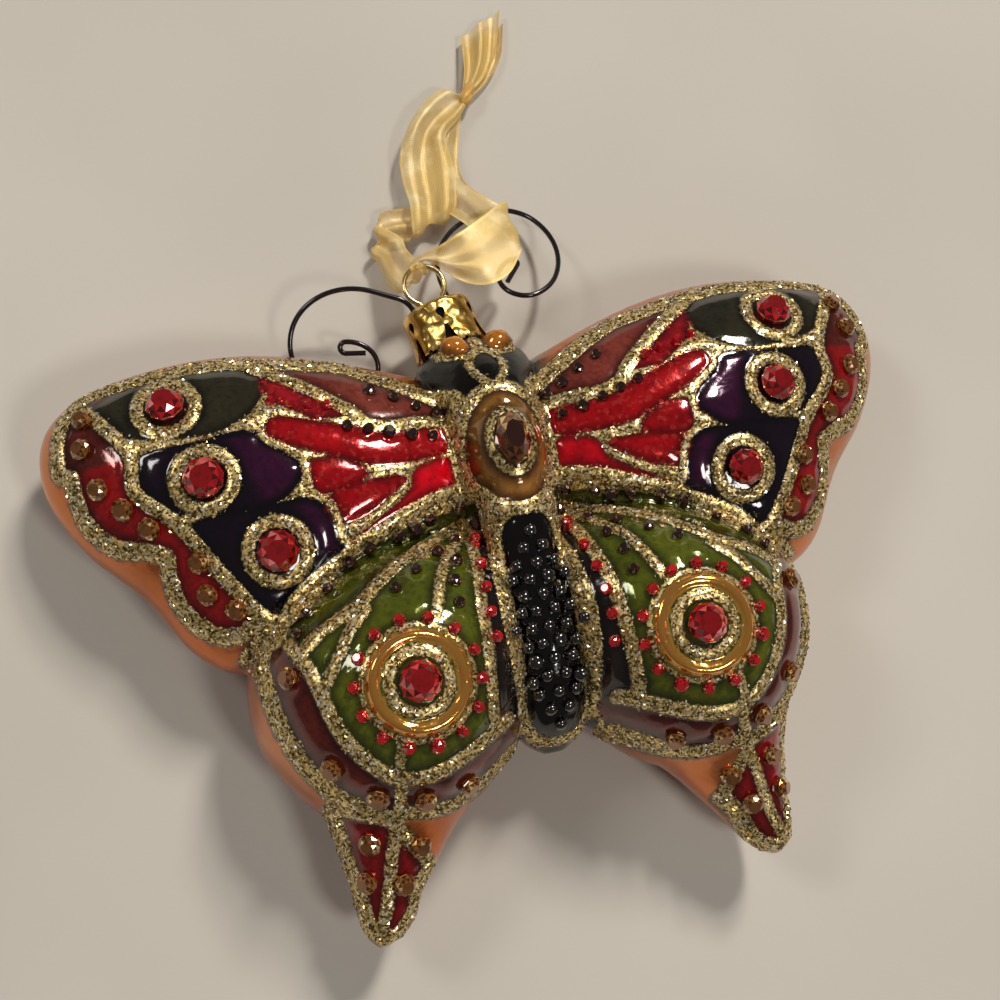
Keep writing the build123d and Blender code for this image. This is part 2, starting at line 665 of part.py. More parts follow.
def seated(stone, reach, x, y):
    """Copy of a stone glued on the front at a place, on the highest glass round its rim."""
    point = front_hit(front_form, x, y)[0]
    rim = []
    for across, along in ((1, 0), (0, 1), (-1, 0), (0, -1)):
        step = reach + seat_margin
        rim.append(front_hit(front_form, x + across * step, y + along * step)[0])
    normal = (rim[0] - rim[2]).cross(rim[1] - rim[3]).normalized()
    rise = max(0, *[(edge - point).dot(normal) for edge in rim])
    origin = point + normal * (rise + glue_line)
    return stone.moved(Plane(origin, x_dir=Vector(0, 1, 0).cross(normal), z_dir=normal).location)


def seated_group(stone, reach, shares, side):
    places = [place(share) for share in shares]
    return [seated(stone, reach, side * x, y) for x, y in places]


ruby_shares = forewing_ruby_shares + [hind_ruby_share]
stone_ring_shares = []
for k in range(stone_ring_count):
    angle = 2 * pi * (k + 0.25) / stone_ring_count
    stone_ring_shares.append((
        hind_ruby_share[0] + stone_ring_radius * cos(angle) / half_span,
        hind_ruby_share[1] + stone_ring_radius * sin(angle) / wing_height))
abdomen_patch = []
row_spacing = black_stone_spacing * sqrt(3) / 2
patch_top = body_place(medallion_place_share)[1] - medallion_length / 2 - patch_medallion_gap
patch_bottom = body_start_share * body_length + patch_tip_margin
patch_middle = (patch_top + patch_bottom) / 2
for row in range(-8, 9):
    for column in range(-4, 5):
        x = (column + 0.5 * (row % 2)) * black_stone_spacing
        y = row * row_spacing
        if hypot(x / (abdomen_patch_width / 2), y / ((patch_top - patch_bottom) / 2)) <= 1:
            abdomen_patch.append(seated(
                black_stone, black_stone_radius, x, patch_middle + y))

nodes = {
    "glass_shell": [glass_shell],
    "ornament_cap": [ornament_cap],
    "hanger_wire": [hanger_wire],
    "left_feeler": [left_feeler],
    "right_feeler": [right_feeler],
    "ribbon_loop": [ribbon_loop],
    "ribbon_knot": [ribbon_knot],
    "ribbon_tails": ribbon_tails,
    "thorax_navette": [seated(navette, navette_width / 2, *body_place(navette_place_share))],
    "abdomen_stones": abdomen_patch,
    "left_rubies": seated_group(ruby, ruby_radius, ruby_shares, -1),
    "right_rubies": seated_group(ruby, ruby_radius, ruby_shares, 1),
    "left_amber_stones": seated_group(amber, amber_radius, amber_shares, -1),
    "right_amber_stones": seated_group(amber, amber_radius, amber_shares, 1),
    "left_ring_stones": seated_group(red_stone, red_stone_radius, stone_ring_shares, -1),
    "right_ring_stones": seated_group(red_stone, red_stone_radius, stone_ring_shares, 1),
    "left_strip_stones": seated_group(
        red_stone, red_stone_radius, strip_stone_shares[:-1], -1),
    "right_strip_stones": seated_group(red_stone, red_stone_radius, strip_stone_shares, 1),
    "left_tiny_stones": seated_group(tiny_stone, tiny_stone_radius, tiny_stone_shares, -1),
    "right_tiny_stones": seated_group(tiny_stone, tiny_stone_radius, tiny_stone_shares, 1),
    "left_dark_stones": seated_group(dark_stone, dark_stone_radius, dark_stone_shares, -1),
    "right_dark_stones": seated_group(dark_stone, dark_stone_radius, dark_stone_shares, 1)}

# Shared frame: the floor at zero and the middle of the whole ornament over the origin
boxes = [solid.bounding_box() for solids in nodes.values() for solid in solids]
low = Vector(
    min(box.min.X for box in boxes), min(box.min.Y for box in boxes),
    min(box.min.Z for box in boxes))
high = Vector(
    max(box.max.X for box in boxes), max(box.max.Y for box in boxes),
    max(box.max.Z for box in boxes))
shift = Location(Vector(-(low.X + high.X) / 2, -(low.Y + high.Y) / 2, -low.Z))
for name, solids in nodes.items():
    moved = [solid.moved(shift) for solid in solids]
    shape = moved[0] if len(moved) == 1 else Compound(moved)
    export_step(shape, "parts/" + name + ".step")
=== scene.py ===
"""Looks of the butterfly ornament: painted glass, glitter, stones, brass cap, wire, organza."""

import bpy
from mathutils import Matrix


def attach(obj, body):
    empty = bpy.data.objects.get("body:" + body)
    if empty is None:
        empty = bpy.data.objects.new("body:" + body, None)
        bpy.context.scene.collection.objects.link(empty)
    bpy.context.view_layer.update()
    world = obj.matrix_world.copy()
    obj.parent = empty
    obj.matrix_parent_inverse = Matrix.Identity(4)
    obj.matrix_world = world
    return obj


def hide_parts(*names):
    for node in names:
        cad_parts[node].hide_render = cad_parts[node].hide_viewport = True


bl_info = {
    "name": "Butterfly Ornament",
    "version": (1, 0, 0),
    "blender": (4, 5, 0),
    "location": "3D View > Sidebar > Ornament",
    "description": "Builds the painted look of a blown-glass butterfly ornament",
    "category": "Object",
}

import math

import bmesh
import bpy
import numpy as np
from mathutils import Matrix, Vector
from mathutils.bvhtree import BVHTree

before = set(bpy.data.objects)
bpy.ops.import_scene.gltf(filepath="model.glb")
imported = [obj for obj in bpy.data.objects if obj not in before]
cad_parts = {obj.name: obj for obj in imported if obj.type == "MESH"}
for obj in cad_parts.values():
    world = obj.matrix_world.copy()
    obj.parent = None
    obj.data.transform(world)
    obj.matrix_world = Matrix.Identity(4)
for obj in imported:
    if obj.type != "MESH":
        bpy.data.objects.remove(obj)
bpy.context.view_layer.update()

MM = 0.001
THORAX = Vector((0.0, -8.313, -0.038)) * MM
NECK_ROOT = Vector((0.0, 0.697, 9.962)) * MM
NECK_AXIS = Vector((-0.190809, 0.981627, 0.0))
# Lengths along the neck's axis from its root, and distances from that axis
BORE_START = 3 * MM
BORE_END = 11 * MM
BORE_REACH = 3.95 * MM
CAPPED_START = 7.5 * MM
CAPPED_REACH = 5.6 * MM

# The camera that took the photograph: its place, its axes and its length in pixels
CAMERA_PLACE = Vector((-42.18, -51.47, 209.12)) * MM
CAMERA_RIGHT = Vector((0.9636, -0.2106, 0.1645))
CAMERA_UP = Vector((0.1718, 0.9597, 0.2225))
CAMERA_FORWARD = Vector((0.2047, 0.1861, -0.9610))
CAMERA_PIXELS = 1400.0
PHOTO_MIDDLE = 500.0

# Lines followed on two enlargements of the photograph. Each enlargement is named by
# the pixel at its top left corner and its scale.
FOREWING_VIEW = (500.0, 280.0, 4.238)
HINDWING_VIEW = (130.0, 480.0, 3.267)
LEADING_LINE = [
    (170, 530), (280, 480), (380, 440), (450, 390), (470, 340), (520, 290), (600, 240),
    (690, 195), (770, 155), (830, 110)]
TRIANGLE = [(490, 335), (770, 185), (795, 240), (640, 320)]
RAY_ONE = [
    (200, 560), (340, 470), (500, 395), (700, 330), (800, 305), (890, 310), (870, 350),
    (750, 410), (620, 470), (520, 540), (380, 600), (230, 635)]
RAY_TWO = [
    (580, 560), (620, 510), (700, 470), (790, 470), (830, 520), (825, 560), (770, 580), (620, 580)]
RAY_THREE = [
    (455, 655), (530, 625), (710, 600), (780, 620), (785, 680), (760, 720), (620, 710), (480, 670)]
RAY_FOUR = [(240, 690), (380, 660), (440, 730), (600, 775), (740, 815), (500, 800), (260, 810)]
EYE_ONE = [
    (790, 180), (850, 120), (930, 90), (1100, 95), (1280, 150), (1340, 200), (1280, 265),
    (1100, 265), (930, 262), (810, 215)]
EYE_TWO = [
    (815, 455), (900, 350), (960, 310), (1150, 300), (1290, 350), (1330, 450), (1290, 545),
    (1120, 560), (960, 560), (830, 490)]
EYE_THREE = [
    (785, 730), (850, 600), (1000, 590), (1240, 610), (1210, 760), (1150, 920), (1040, 970),
    (900, 900), (790, 790)]
EYES_LEFT = [
    (800, 240), (900, 330), (830, 400), (800, 460), (830, 560), (780, 640), (780, 720),
    (790, 780), (760, 820)]
EYES_RIGHT = [
    (1350, 190), (1310, 330), (1340, 480), (1270, 600), (1230, 760), (1170, 930), (1120, 1000)]
FORE_HIND_LINE = [
    (230, 820), (400, 800), (700, 825), (880, 890), (1020, 985), (1180, 1050), (1220, 1100)]
HIND_TOP = [
    (1165, 60), (1130, 50), (980, 105), (820, 180), (690, 260), (590, 340), (520, 420), (490, 520),
    (440, 560)]
HIND_BORDER = [
    (440, 560), (430, 620), (480, 780), (560, 920), (670, 1030), (810, 1095), (870, 1110)]
HIND_LOWER = [
    (870, 1110), (900, 1090), (980, 1085), (1060, 1060), (1130, 1010), (1190, 950), (1240, 890)]
MARGIN_LINE = [
    (520, 540), (570, 600), (620, 690), (650, 760), (690, 830), (750, 900), (810, 945), (870, 975),
    (950, 975), (1030, 945), (1100, 900), (1160, 850), (1240, 780)]
STRIP_LINE = [(1080, 150), (1000, 190), (870, 280), (740, 410), (620, 500), (550, 580)]
LEAF_LINE = [(770, 420), (720, 490), (690, 560), (630, 690)]
PANEL_LINE = [(1090, 150), (1060, 210), (1020, 300), (1000, 450)]
STONE_STRIP_LINE = [(1100, 150), (1130, 260), (1150, 400), (1170, 520), (1190, 760), (1200, 800)]
BODY_LINE = [
    (1165, 60), (1165, 110), (1190, 200), (1220, 330), (1250, 450), (1274, 560), (1280, 760)]
RING_DROP = [(890, 830), (880, 975)]
MARGIN_DIVIDER = [(890, 970), (880, 1110)]
TAIL = [
    (655, 1070), (690, 1180), (700, 1290), (730, 1400), (790, 1480), (830, 1500), (880, 1480),
    (920, 1420), (940, 1330), (980, 1250), (1040, 1180), (1095, 1110), (850, 1110)]
TAIL_MIDDLE = [(880, 1110), (860, 1200), (850, 1300), (840, 1400), (820, 1470)]

# Pixels of the photograph along the left forewing's border, from the body round to the notch
PHOTO_VIEW = (0.0, 0.0, 1.0)
FORE_BORDER = [
    (452, 399), (350, 371), (312, 366), (245, 364), (201, 367), (156, 376), (112, 389), (85, 400),
    (67, 416), (59, 434), (57, 456), (60, 476), (71, 480), (74, 492), (83, 519), (98, 537),
    (120, 550), (143, 552), (165, 557), (168, 566), (170, 579), (179, 604), (196, 624), (219, 637),
    (241, 635), (257, 624), (266, 626), (262, 642)]

# Marks seen on both forewings, whose pictures differ a little: the rubies, the triangle's ends,
# the edge over the first ruby, the tip and the notch
RIGHT_MARKS = [
    (769, 319), (771, 380), (747, 459), (616, 359), (682, 324), (745, 302), (843, 358), (775, 525)]
LEFT_MARKS = [
    (165, 407), (204, 479), (278, 551), (347, 413), (262, 379), (165, 373), (57, 445), (262, 640)]
FIXED_MARKS = [(7.5, 9.0), (7.5, 0.0), (8.0, -7.0)]

# Ribbon edges in millimetres from the thorax, left then right, from the knot over the ring and
# back to the knot, then the two tails
RIBBON_ROWS = [
    ((9.4, 64.7, 3.0), (10.6, 62.9, 2.6)), ((7.6, 65.7, 3.4), (9.4, 61.3, 2.6)),
    ((5.4, 64.9, 3.6), (8.2, 59.9, 2.6)), ((2.2, 62.1, 4.2), (6.6, 58.3, 3.4)),
    ((-0.6, 58.5, 4.0), (5.6, 56.5, 4.0)), ((-2.4, 54.4, 3.6), (5.9, 52.9, 4.0)),
    ((-2.7, 50.3, 3.4), (5.9, 49.9, 3.8)), ((-2.4, 46.4, 3.4), (5.2, 45.9, 3.8)),
    ((-2.8, 42.7, 3.4), (4.7, 44.7, 3.8)), ((-2.9, 41.2, 3.0), (4.5, 43.7, 3.1)),
    ((-3.0, 41.6, 2.2), (4.2, 44.1, 2.2)), ((-3.2, 41.2, 1.6), (0.5, 46.3, 1.6)),
    ((-3.4, 41.1, 1.4), (-2.6, 46.5, 1.4)), ((-5.0, 41.2, 1.6), (-5.2, 46.3, 2.0)),
    ((-6.8, 40.9, 1.7), (-7.3, 45.9, 1.8)), ((-9.8, 38.9, 2.4), (-7.6, 44.1, 2.5)),
    ((-9.2, 37.5, 3.1), (-5.0, 41.5, 3.3)), ((-9.0, 34.8, 4.4), (-4.6, 38.8, 4.4)),
    ((-8.6, 32.1, 6.2), (-3.4, 35.9, 5.8)), ((-7.2, 30.5, 7.8), (-2.6, 33.9, 7.2)),
    ((-5.6, 31.6, 8.8), (-3.2, 32.1, 8.8)), ((-5.7, 31.8, 10.0), (-3.3, 32.3, 10.0)),
    ((-5.8, 32.3, 11.0), (-3.4, 32.8, 11.0)), ((-5.9, 33.3, 11.2), (-3.6, 33.8, 11.2)),
    ((-3.6, 34.7, 11.2), (-1.9, 32.9, 11.2)), ((-0.6, 35.7, 10.9), (1.6, 29.9, 10.8)),
    ((3.4, 37.9, 10.2), (5.4, 28.5, 11.3)), ((7.6, 40.5, 8.8), (9.0, 29.7, 11.2)),
    ((10.6, 42.7, 7.2), (11.6, 32.9, 10.4)), ((12.2, 43.5, 6.2), (12.4, 34.5, 9.4)),
    ((11.6, 43.9, 5.2), (11.2, 35.7, 8.4)), ((9.5, 45.8, 4.6), (7.6, 37.5, 6.6)),
    ((7.2, 49.0, 3.4), (5.4, 41.5, 4.2)), ((7.2, 52.3, 1.8), (1.4, 47.3, 1.8)),
    ((8.0, 56.3, 1.5), (1.2, 54.9, 1.5)), ((9.0, 59.9, 1.8), (4.2, 59.3, 1.5)),
    ((9.8, 62.1, 2.2), (8.0, 62.3, 2.0)), ((10.9, 63.2, 2.2), (9.8, 63.9, 2.0))]
TAIL_ROWS = [
    [((10.4, 65.5, 2.6), (11.8, 64.9, 2.6)), ((11.4, 68.8, 2.4), (15.2, 67.9, 2.4)),
     ((11.9, 71.8, 2.0), (17.6, 72.1, 2.4)), ((12.4, 75.3, 1.8), (19.9, 79.5, 1.6))],
    [((10.8, 65.3, 1.7), (12.2, 64.5, 1.7)), ((11.8, 68.5, 1.3), (15.6, 67.3, 1.4)),
     ((12.6, 71.5, 1.0), (18.4, 71.3, 1.2)), ((13.6, 74.7, 0.8), (20.2, 77.3, 0.8))]]
KNOT_MIDDLE = (11.0, 64.5, 2.5)
KNOT_HALF = (2.25, 1.25, 1.25)
KNOT_TURN = math.radians(60.0)
KNOT_RINGS = 28
KNOT_SIDES = 48

# The weave runs in millimetres across and along the ribbon. Its pleats are waves across it
# that sway along it.
WEAVE_WIDTH = 10.0
YARNS = 22.0
PLEAT_DEPTH = 1.3 * MM
PLEAT_SHARE = 0.115
PLEAT_WAVES = 3.2
PLEAT_START = 0.6
PLEAT_SWAY = 1.3
PLEAT_SWAY_RATE = 55

# Places on the front, across and along from the thorax, in millimetres
RUBIES = [(44.9, 14.3), (41.5, 2.8), (33.6, -8.6), (19.5, -30.0)]
RING_RADIUS = 6.0
FAR = 9.0
HEAD_HALF = 8.6
HEAD_START = 8.0
NOTCH_HALF = 12.5
FRONT_HEIGHT = 0.9
HEAD_ARM = [(0.8, 9.4), (2.0, 11.2), (2.4, 13.2), (1.5, 15.0), (0.0, 16.0)]
HEAD_BROW = [(1.5, 15.0), (3.4, 15.2), (5.2, 15.9), (5.9, 17.4)]
HEAD_SPLIT = [(0.0, 16.0), (0.0, 18.6)]
# Ellipses: the middle across and along, then half of each size
EYE_BUMP = (3.3, 17.2, 2.2, 1.7)
MEDALLION = (0, -0.2, 6.0, 8.3)
MEDALLION_TRAIL = (0, -0.2, 6.7, 9.1)
MEDALLION_BORDER = (0, 0.1, 3.0, 4.6)
ABDOMEN = (0, -25.0, 5.4, 15.6)
ABDOMEN_TRAIL = (0, -25.0, 5.9, 15.8)
SHAPE_GROWTH = 0.55
BODY_REACH = 7.7

COLOURS = {
    "bare": (0.45, 0.18, 0.08),
    "leading": (0.16, 0.030, 0.022),
    "triangle": (0.33, 0.005, 0.012),
    "ray": (0.36, 0.001, 0.005),
    "bright ray": (0.66, 0.001, 0.012),
    "eye one": (0.026, 0.023, 0.012),
    "eye": (0.007, 0.002, 0.009),
    "purple": (0.034, 0.003, 0.026),
    "apex": (0.11, 0.014, 0.009),
    "outer": (0.30, 0.006, 0.008),
    "olive strip": (0.07, 0.08, 0.006),
    "olive": (0.095, 0.115, 0.007),
    "stone strip": (0.018, 0.012, 0.010),
    "margin": (0.115, 0.014, 0.009),
    "tail": (0.26, 0.005, 0.006),
    "head": (0.0035, 0.0030, 0.0015),
    "medallion": (0.30, 0.135, 0.028),
    "abdomen": (0.0025, 0.0015, 0.0015),
    "end": (0.014, 0.014, 0.005),
    "eye bump": (0.55, 0.19, 0.02),
}
DARK_BAND = (0.09, 0.03, 0.008)
NO_LIGHT = (0.0, 0.0, 0.0)
WHITE = (1.0, 1.0, 1.0, 1.0)

# A cut stone: the share of a navette that is drawn, its seat, and the step of its facets' painted
# light tones.
# Its rows run from its flat back to its table: the share of its radius, the share of its height,
# and how far each row is turned, in half steps.
NAVETTE_DRAWN = (0.75, 0.91)
SEAT_DEPTH = 1.4 * MM
SEAT_SHARE = 0.84
STONE_FIT = 0.995
ROUND_ENOUGH = 0.9
FACET_STEP = 0.618034
BRILLIANT_ROWS = [
    (0.88, 0.0, 0), (1.0, 0.24, 0), (0.985, 0.36, 0), (0.80, 0.66, 1), (0.55, 1.0, 0)]
BEAD_ROWS = [
    (0.90, 0.0, 0), (1.0, 0.28, 0), (0.94, 0.55, 0), (0.76, 0.80, 0), (0.45, 0.95, 0),
    (0.14, 1.0, 0)]

FLAKE_TILT = 0.75
FLAKE_TURN = 6.28
FLAKE_SIZES = (0.6, 1.25)
LEAST_FLAKES = 1000
TRAIL_GRAIN = 0.25

FLOOR_REACH = 1.5
SUN_WAY = (0.30, 0.40, 0.62)
LAMPS = [
    ("key", (0.30, 0.40, 0.55), 0.10, 2.0, (1.0, 0.93, 0.82)),
    ("fill", (-0.40, 0.25, 0.50), 0.14, 0.8, (1.0, 0.96, 0.9)),
    ("front", (0.16, -0.30, 0.50), 0.10, 0.8, (1.0, 0.95, 0.86))]


def pixel_ray(x, y):
    """Direction from the camera through a pixel of the photograph."""
    way = (CAMERA_FORWARD * CAMERA_PIXELS + CAMERA_RIGHT * (x - PHOTO_MIDDLE)
           + CAMERA_UP * (PHOTO_MIDDLE - y))
    return way.normalized()


def tree_of(mesh):
    return BVHTree.FromPolygons([v.co for v in mesh.vertices], [p.vertices for p in mesh.polygons])


def on_wing(tree, points, view):
    """Places in millimetres across and along from the thorax, seen through traced points."""
    left, top, scale = view
    found = []
    for x, y in points:
        hit = tree.ray_cast(CAMERA_PLACE, pixel_ray(left + x / scale, top + y / scale))[0]
        if hit is not None:
            local = (hit - THORAX) / MM
            found.append((abs(local.x), local.y))
    if len(found) < 2:
        raise RuntimeError("a traced line misses the glass")
    return np.array(found)


def smoothed(points, closed=False, steps=6):
    """Catmull-Rom curve through points."""
    p = np.asarray(points, float)
    n = len(p)
    if closed:
        ids = np.arange(n)
        a, b, c, d = p[(ids - 1) % n], p, p[(ids + 1) % n], p[(ids + 2) % n]
    else:
        q = np.vstack([2 * p[0] - p[1], p, 2 * p[-1] - p[-2]])
        a, b, c, d = q[:-3], q[1:-2], q[2:-1], q[3:]
    rows = []
    for k in range(steps):
        t = k / steps
        rows.append(0.5 * (2 * b + (c - a) * t + (2 * a - 5 * b + 4 * c - d) * t * t
                           + (3 * b - a - 3 * c + d) * t ** 3))
    curve = np.stack(rows, 1).reshape(-1, p.shape[1])
    if closed:
        return curve
    return np.vstack([curve, p[-1]])


def plate_warp(sources, targets):
    """Thin plate map that carries marks onto other marks, and what lies between them."""

    def bend(a, b):
        gap = np.hypot(a[:, None, 0] - b[None, :, 0], a[:, None, 1] - b[None, :, 1])
        return gap ** 2 * np.log(gap + 1e-9)

    count = len(sources)
    flat = np.hstack([np.ones((count, 1)), sources])
    system = np.zeros((count + 3, count + 3))
    system[:count, :count] = bend(sources, sources) + 2.0 * np.eye(count)
    system[:count, count:] = flat
    system[count:, :count] = flat.T
    answer = np.linalg.solve(system, np.vstack([targets, np.zeros((3, 2))]))

    def carry(places):
        level = np.hstack([np.ones((len(places), 1)), places])
        return bend(places, sources) @ answer[:count] + level @ answer[count:]

    return carry


def distance_to(places, line, closed=False):
    """Least distance from each place to a line of points."""
    pts = np.vstack([line, line[:1]]) if closed else line
    best = np.full(len(places), 1e9)
    for a, b in zip(pts[:-1], pts[1:]):
        d = b - a
        length = max(float(d @ d), 1e-12)
        t = np.clip(((places - a) @ d) / length, 0, 1)
        gap = np.hypot(places[:, 0] - a[0] - t * d[0], places[:, 1] - a[1] - t * d[1])
        best = np.minimum(best, gap)
    return best


def inside(places, outline):
    """Which places lie within an outline."""
    x, y = places[:, 0], places[:, 1]
    result = np.zeros(len(places), bool)
    for a, b in zip(outline, np.roll(outline, -1, axis=0)):
        if a[1] == b[1]:
            continue
        crossing = (a[1] > y) != (b[1] > y)
        where = (b[0] - a[0]) * (y - a[1]) / (b[1] - a[1]) + a[0]
        result ^= crossing & (x < where)
    return result


def ellipse(x, y, half_x, half_y, count=32, point=1.0):
    t = np.linspace(0, 2 * math.pi, count, endpoint=False)
    return np.stack([x + half_x * np.sign(np.cos(t)) * np.abs(np.cos(t)) ** point,
                     y + half_y * np.sin(t)], 1)


def ellipse_reach(x, y, oval):
    """How far places are from an ellipse's middle, as a share of the way to its edge."""
    return np.hypot((x - oval[0]) / oval[2], (y - oval[1]) / oval[3])


def blend_in(value, low, high):
    t = np.clip((value - low) / (high - low), 0, 1)
    return t * t * (3 - 2 * t)


def new_object(name, mesh):
    ob = bpy.data.objects.new(name, mesh)
    bpy.context.scene.collection.objects.link(ob)
    return ob


def evaluated(ob):
    """Plain mesh of an object with its modifiers applied."""
    depsgraph = bpy.context.evaluated_depsgraph_get()
    return bpy.data.meshes.new_from_object(ob.evaluated_get(depsgraph), depsgraph=depsgraph)


class Socket:
    """A node's output that takes part in sums."""

    def __init__(self, tree, out):
        self.tree = tree
        self.out = out

    def math(self, kind, other=None):
        node = self.tree.tree.nodes.new("ShaderNodeMath")
        node.operation = kind
        self.tree.put(node.inputs[0], self)
        if other is not None:
            self.tree.put(node.inputs[1], other)
        return Socket(self.tree, node.outputs[0])

    def __add__(self, other):
        return self.math("ADD", other)

    def __sub__(self, other):
        return self.math("SUBTRACT", other)

    def __rsub__(self, other):
        return (self * -1.0) + other

    def __mul__(self, other):
        return self.math("MULTIPLY", other)

    __radd__ = __add__
    __rmul__ = __mul__


class Shade:
    """A material and its nodes."""

    def __init__(self, name):
        self.material = bpy.data.materials.new(name)
        self.material.use_nodes = True
        self.tree = self.material.node_tree
        self.tree.nodes.clear()
        self.shader = self.tree.nodes.new("ShaderNodeBsdfPrincipled")
        out = self.tree.nodes.new("ShaderNodeOutputMaterial")
        self.tree.links.new(self.shader.outputs[0], out.inputs[0])

    def put(self, socket, value):
        if isinstance(value, Socket):
            self.tree.links.new(value.out, socket)
        elif isinstance(value, (tuple, list)) and len(value) == 3 and socket.type == "RGBA":
            socket.default_value = (*value, 1.0)
        else:
            socket.default_value = value

    def node(self, kind, settings=None, output=0, **inputs):
        node = self.tree.nodes.new(kind)
        for key, value in (settings or {}).items():
            setattr(node, key, value)
        for key, value in inputs.items():
            self.put(node.inputs[key.replace("_", " ")], value)
        return Socket(self, node.outputs[output])

    def place(self):
        return self.node("ShaderNodeTexCoord", output=3)

    def attribute(self, name, colour=False):
        return self.node("ShaderNodeAttribute", {"attribute_name": name}, 0 if colour else 2)

    def noise(self, scale, detail=2.0):
        return self.node("ShaderNodeTexNoise", Scale=scale, Detail=detail, Vector=self.place())

    def cells(self, scale, output=0, feature="F1"):
        settings = {"feature": feature}
        return self.node(
            "ShaderNodeTexVoronoi", settings, output, Scale=scale, Vector=self.place())

    def channel(self, colour, number):
        return self.node("ShaderNodeSeparateColor", None, number, Color=colour)

    def step(self, value, low, high):
        settings = {"interpolation_type": "SMOOTHSTEP"}
        return self.node(
            "ShaderNodeMapRange", settings, Value=value, From_Min=low, From_Max=high)

    def mix(self, share, a, b, kind="MIX"):
        node = self.tree.nodes.new("ShaderNodeMix")
        node.data_type = "RGBA"
        node.blend_type = kind
        self.put(node.inputs[0], share)
        self.put(node.inputs[6], a)
        self.put(node.inputs[7], b)
        return Socket(self, node.outputs[2])

    def bump(self, height, distance, strength=1.0, normal=None):
        inputs = {"Height": height, "Distance": distance, "Strength": strength}
        if normal is not None:
            inputs["Normal"] = normal
        return self.node("ShaderNodeBump", **inputs)

    def finish(self, **inputs):
        for key, value in inputs.items():
            self.put(self.shader.inputs[key.replace("_", " ")], value)
        return self.material


def paint_shade(bare_colour, glitter_colour):
    """Enamel, glitter, gilding and bare lustre glass, chosen by the values on the mesh."""
    s = Shade("painted_glass")
    base = s.attribute("paint", colour=True)
    trail, painted, gilt, gloss = (
        s.attribute(name) for name in ("trail", "painted", "gilt", "gloss"))
    fuzz = s.noise(1800.0, 3.0) - 0.5
    glitter = (1.0 - s.step(trail + fuzz * 0.7, -0.12, 0.16)) * painted
    grains = s.cells(3400.0, 1)
    tone = s.channel(grains, 0)
    # Painted light on the glitter: grains run from a painted shade through the lit glitter colour,
    # and a few are painted white glints.
    lit = tuple(0.9 * c for c in glitter_colour)
    flake = s.mix(s.step(tone, 0.15, 0.75), (0.10, 0.062, 0.016), lit)
    flake = s.mix(s.step(tone, 0.86, 0.93), flake, (1.0, 0.92, 0.72))
    enamel = base
    pools = [
        (170.0, 3.0, 0.35, 0.70, 0.6, (1.7, 1.6, 1.5)), (420.0, 2.0, 0.5, 0.75, 0.35, NO_LIGHT),
        (1300.0, 3.0, 0.46, 0.66, 0.45, (0.40, 0.38, 0.34))]
    for scale, detail, low, high, share, tint in pools:
        cloud = s.step(s.noise(scale, detail), low, high)
        enamel = s.mix(cloud * share, enamel, tint, "MULTIPLY")
    edge = 0.72 * (1.0 - s.step(trail, 0.0, 1.5))
    enamel = s.mix(edge, enamel, NO_LIGHT, "MULTIPLY")
    shell_cloud = s.noise(75.0, 3.0)
    bare = s.mix(s.step(shell_cloud, 0.3, 0.7), bare_colour, (0.44, 0.105, 0.022))
    bare = s.mix(s.step(s.noise(38.0, 1.0), 0.45, 0.75) * 0.45, bare, (0.80, 0.34, 0.14))
    # Fine red glitter in the ray and triangle enamel: its flecks are metallic with their own
    # bumps, and their bright red colour is a painted glint.
    speck = s.channel(s.cells(1900.0, 1), 2)
    sparkle = s.attribute("sparkle") * s.step(speck, 0.80, 0.90)
    enamel = s.mix(sparkle * 0.8, enamel, (0.85, 0.05, 0.04))
    colour = s.mix(painted, bare, enamel)
    colour = s.mix(gilt, colour, (0.78, 0.36, 0.07))
    colour = s.mix(glitter, colour, flake)
    rough = (0.26 - painted * 0.14 + gloss * 0.12) * (1.0 - glitter) + glitter * 0.34
    metal = (1.0 - painted) * 0.75 + painted * (1.0 - glitter) * (1.0 - gloss) * 0.3 + gilt * 0.5
    metal = (metal + glitter * 0.75 + sparkle * 0.4).math("MINIMUM", 1.0)
    coat = (1.0 - glitter) * (1.0 - gloss * 0.95) * (0.25 + painted * 0.55)
    normal = s.bump(s.noise(260.0, 3.0), 0.00026, 0.65)
    grain = s.channel(grains, 1) * (glitter + sparkle * 0.5)
    normal = s.bump(grain, 0.00022, 0.9, normal)
    return s.finish(
        Base_Color=colour, Roughness=rough, Metallic=metal, Coat_Weight=coat,
        Coat_Roughness=0.06, IOR=1.38, Normal=normal)


def flake_shade(glitter_colour):
    s = Shade("glitter_flakes")
    # Painted light: each flake is painted from a shaded dark through the lit glitter colour, and a
    # few are painted white glints.
    tint = s.attribute("tint")
    colour = s.mix(s.step(tint, 0.15, 0.60), (0.25, 0.155, 0.04), glitter_colour)
    colour = s.mix(s.step(tint, 0.64, 0.74), colour, (1.0, 0.97, 0.86))
    return s.finish(Base_Color=colour, Metallic=0.80, Roughness=0.24)


def crystal_shade(name, deep, light, flash, foil, roughness=0.09):
    """Cut glass on foil, with painted light: each facet is painted in a tone from shade through
    lit colour to a white flash.
    """
    s = Shade(name)
    facet = s.attribute("facet")
    cloud = s.noise(900.0, 1.0)
    # Painted shade, lit colour and painted highlight, chosen by each facet's tone
    colour = s.mix(s.step(facet, 0.15, 0.75), deep, light)
    colour = s.mix(s.step(facet, 0.91, 0.95), colour, flash)
    colour = s.mix(s.step(cloud, 0.45, 0.7) * 0.4, colour, deep)
    return s.finish(Base_Color=colour, Metallic=foil, Roughness=roughness, Coat_Weight=1.0,
                    Coat_Roughness=0.03, Coat_IOR=1.7)


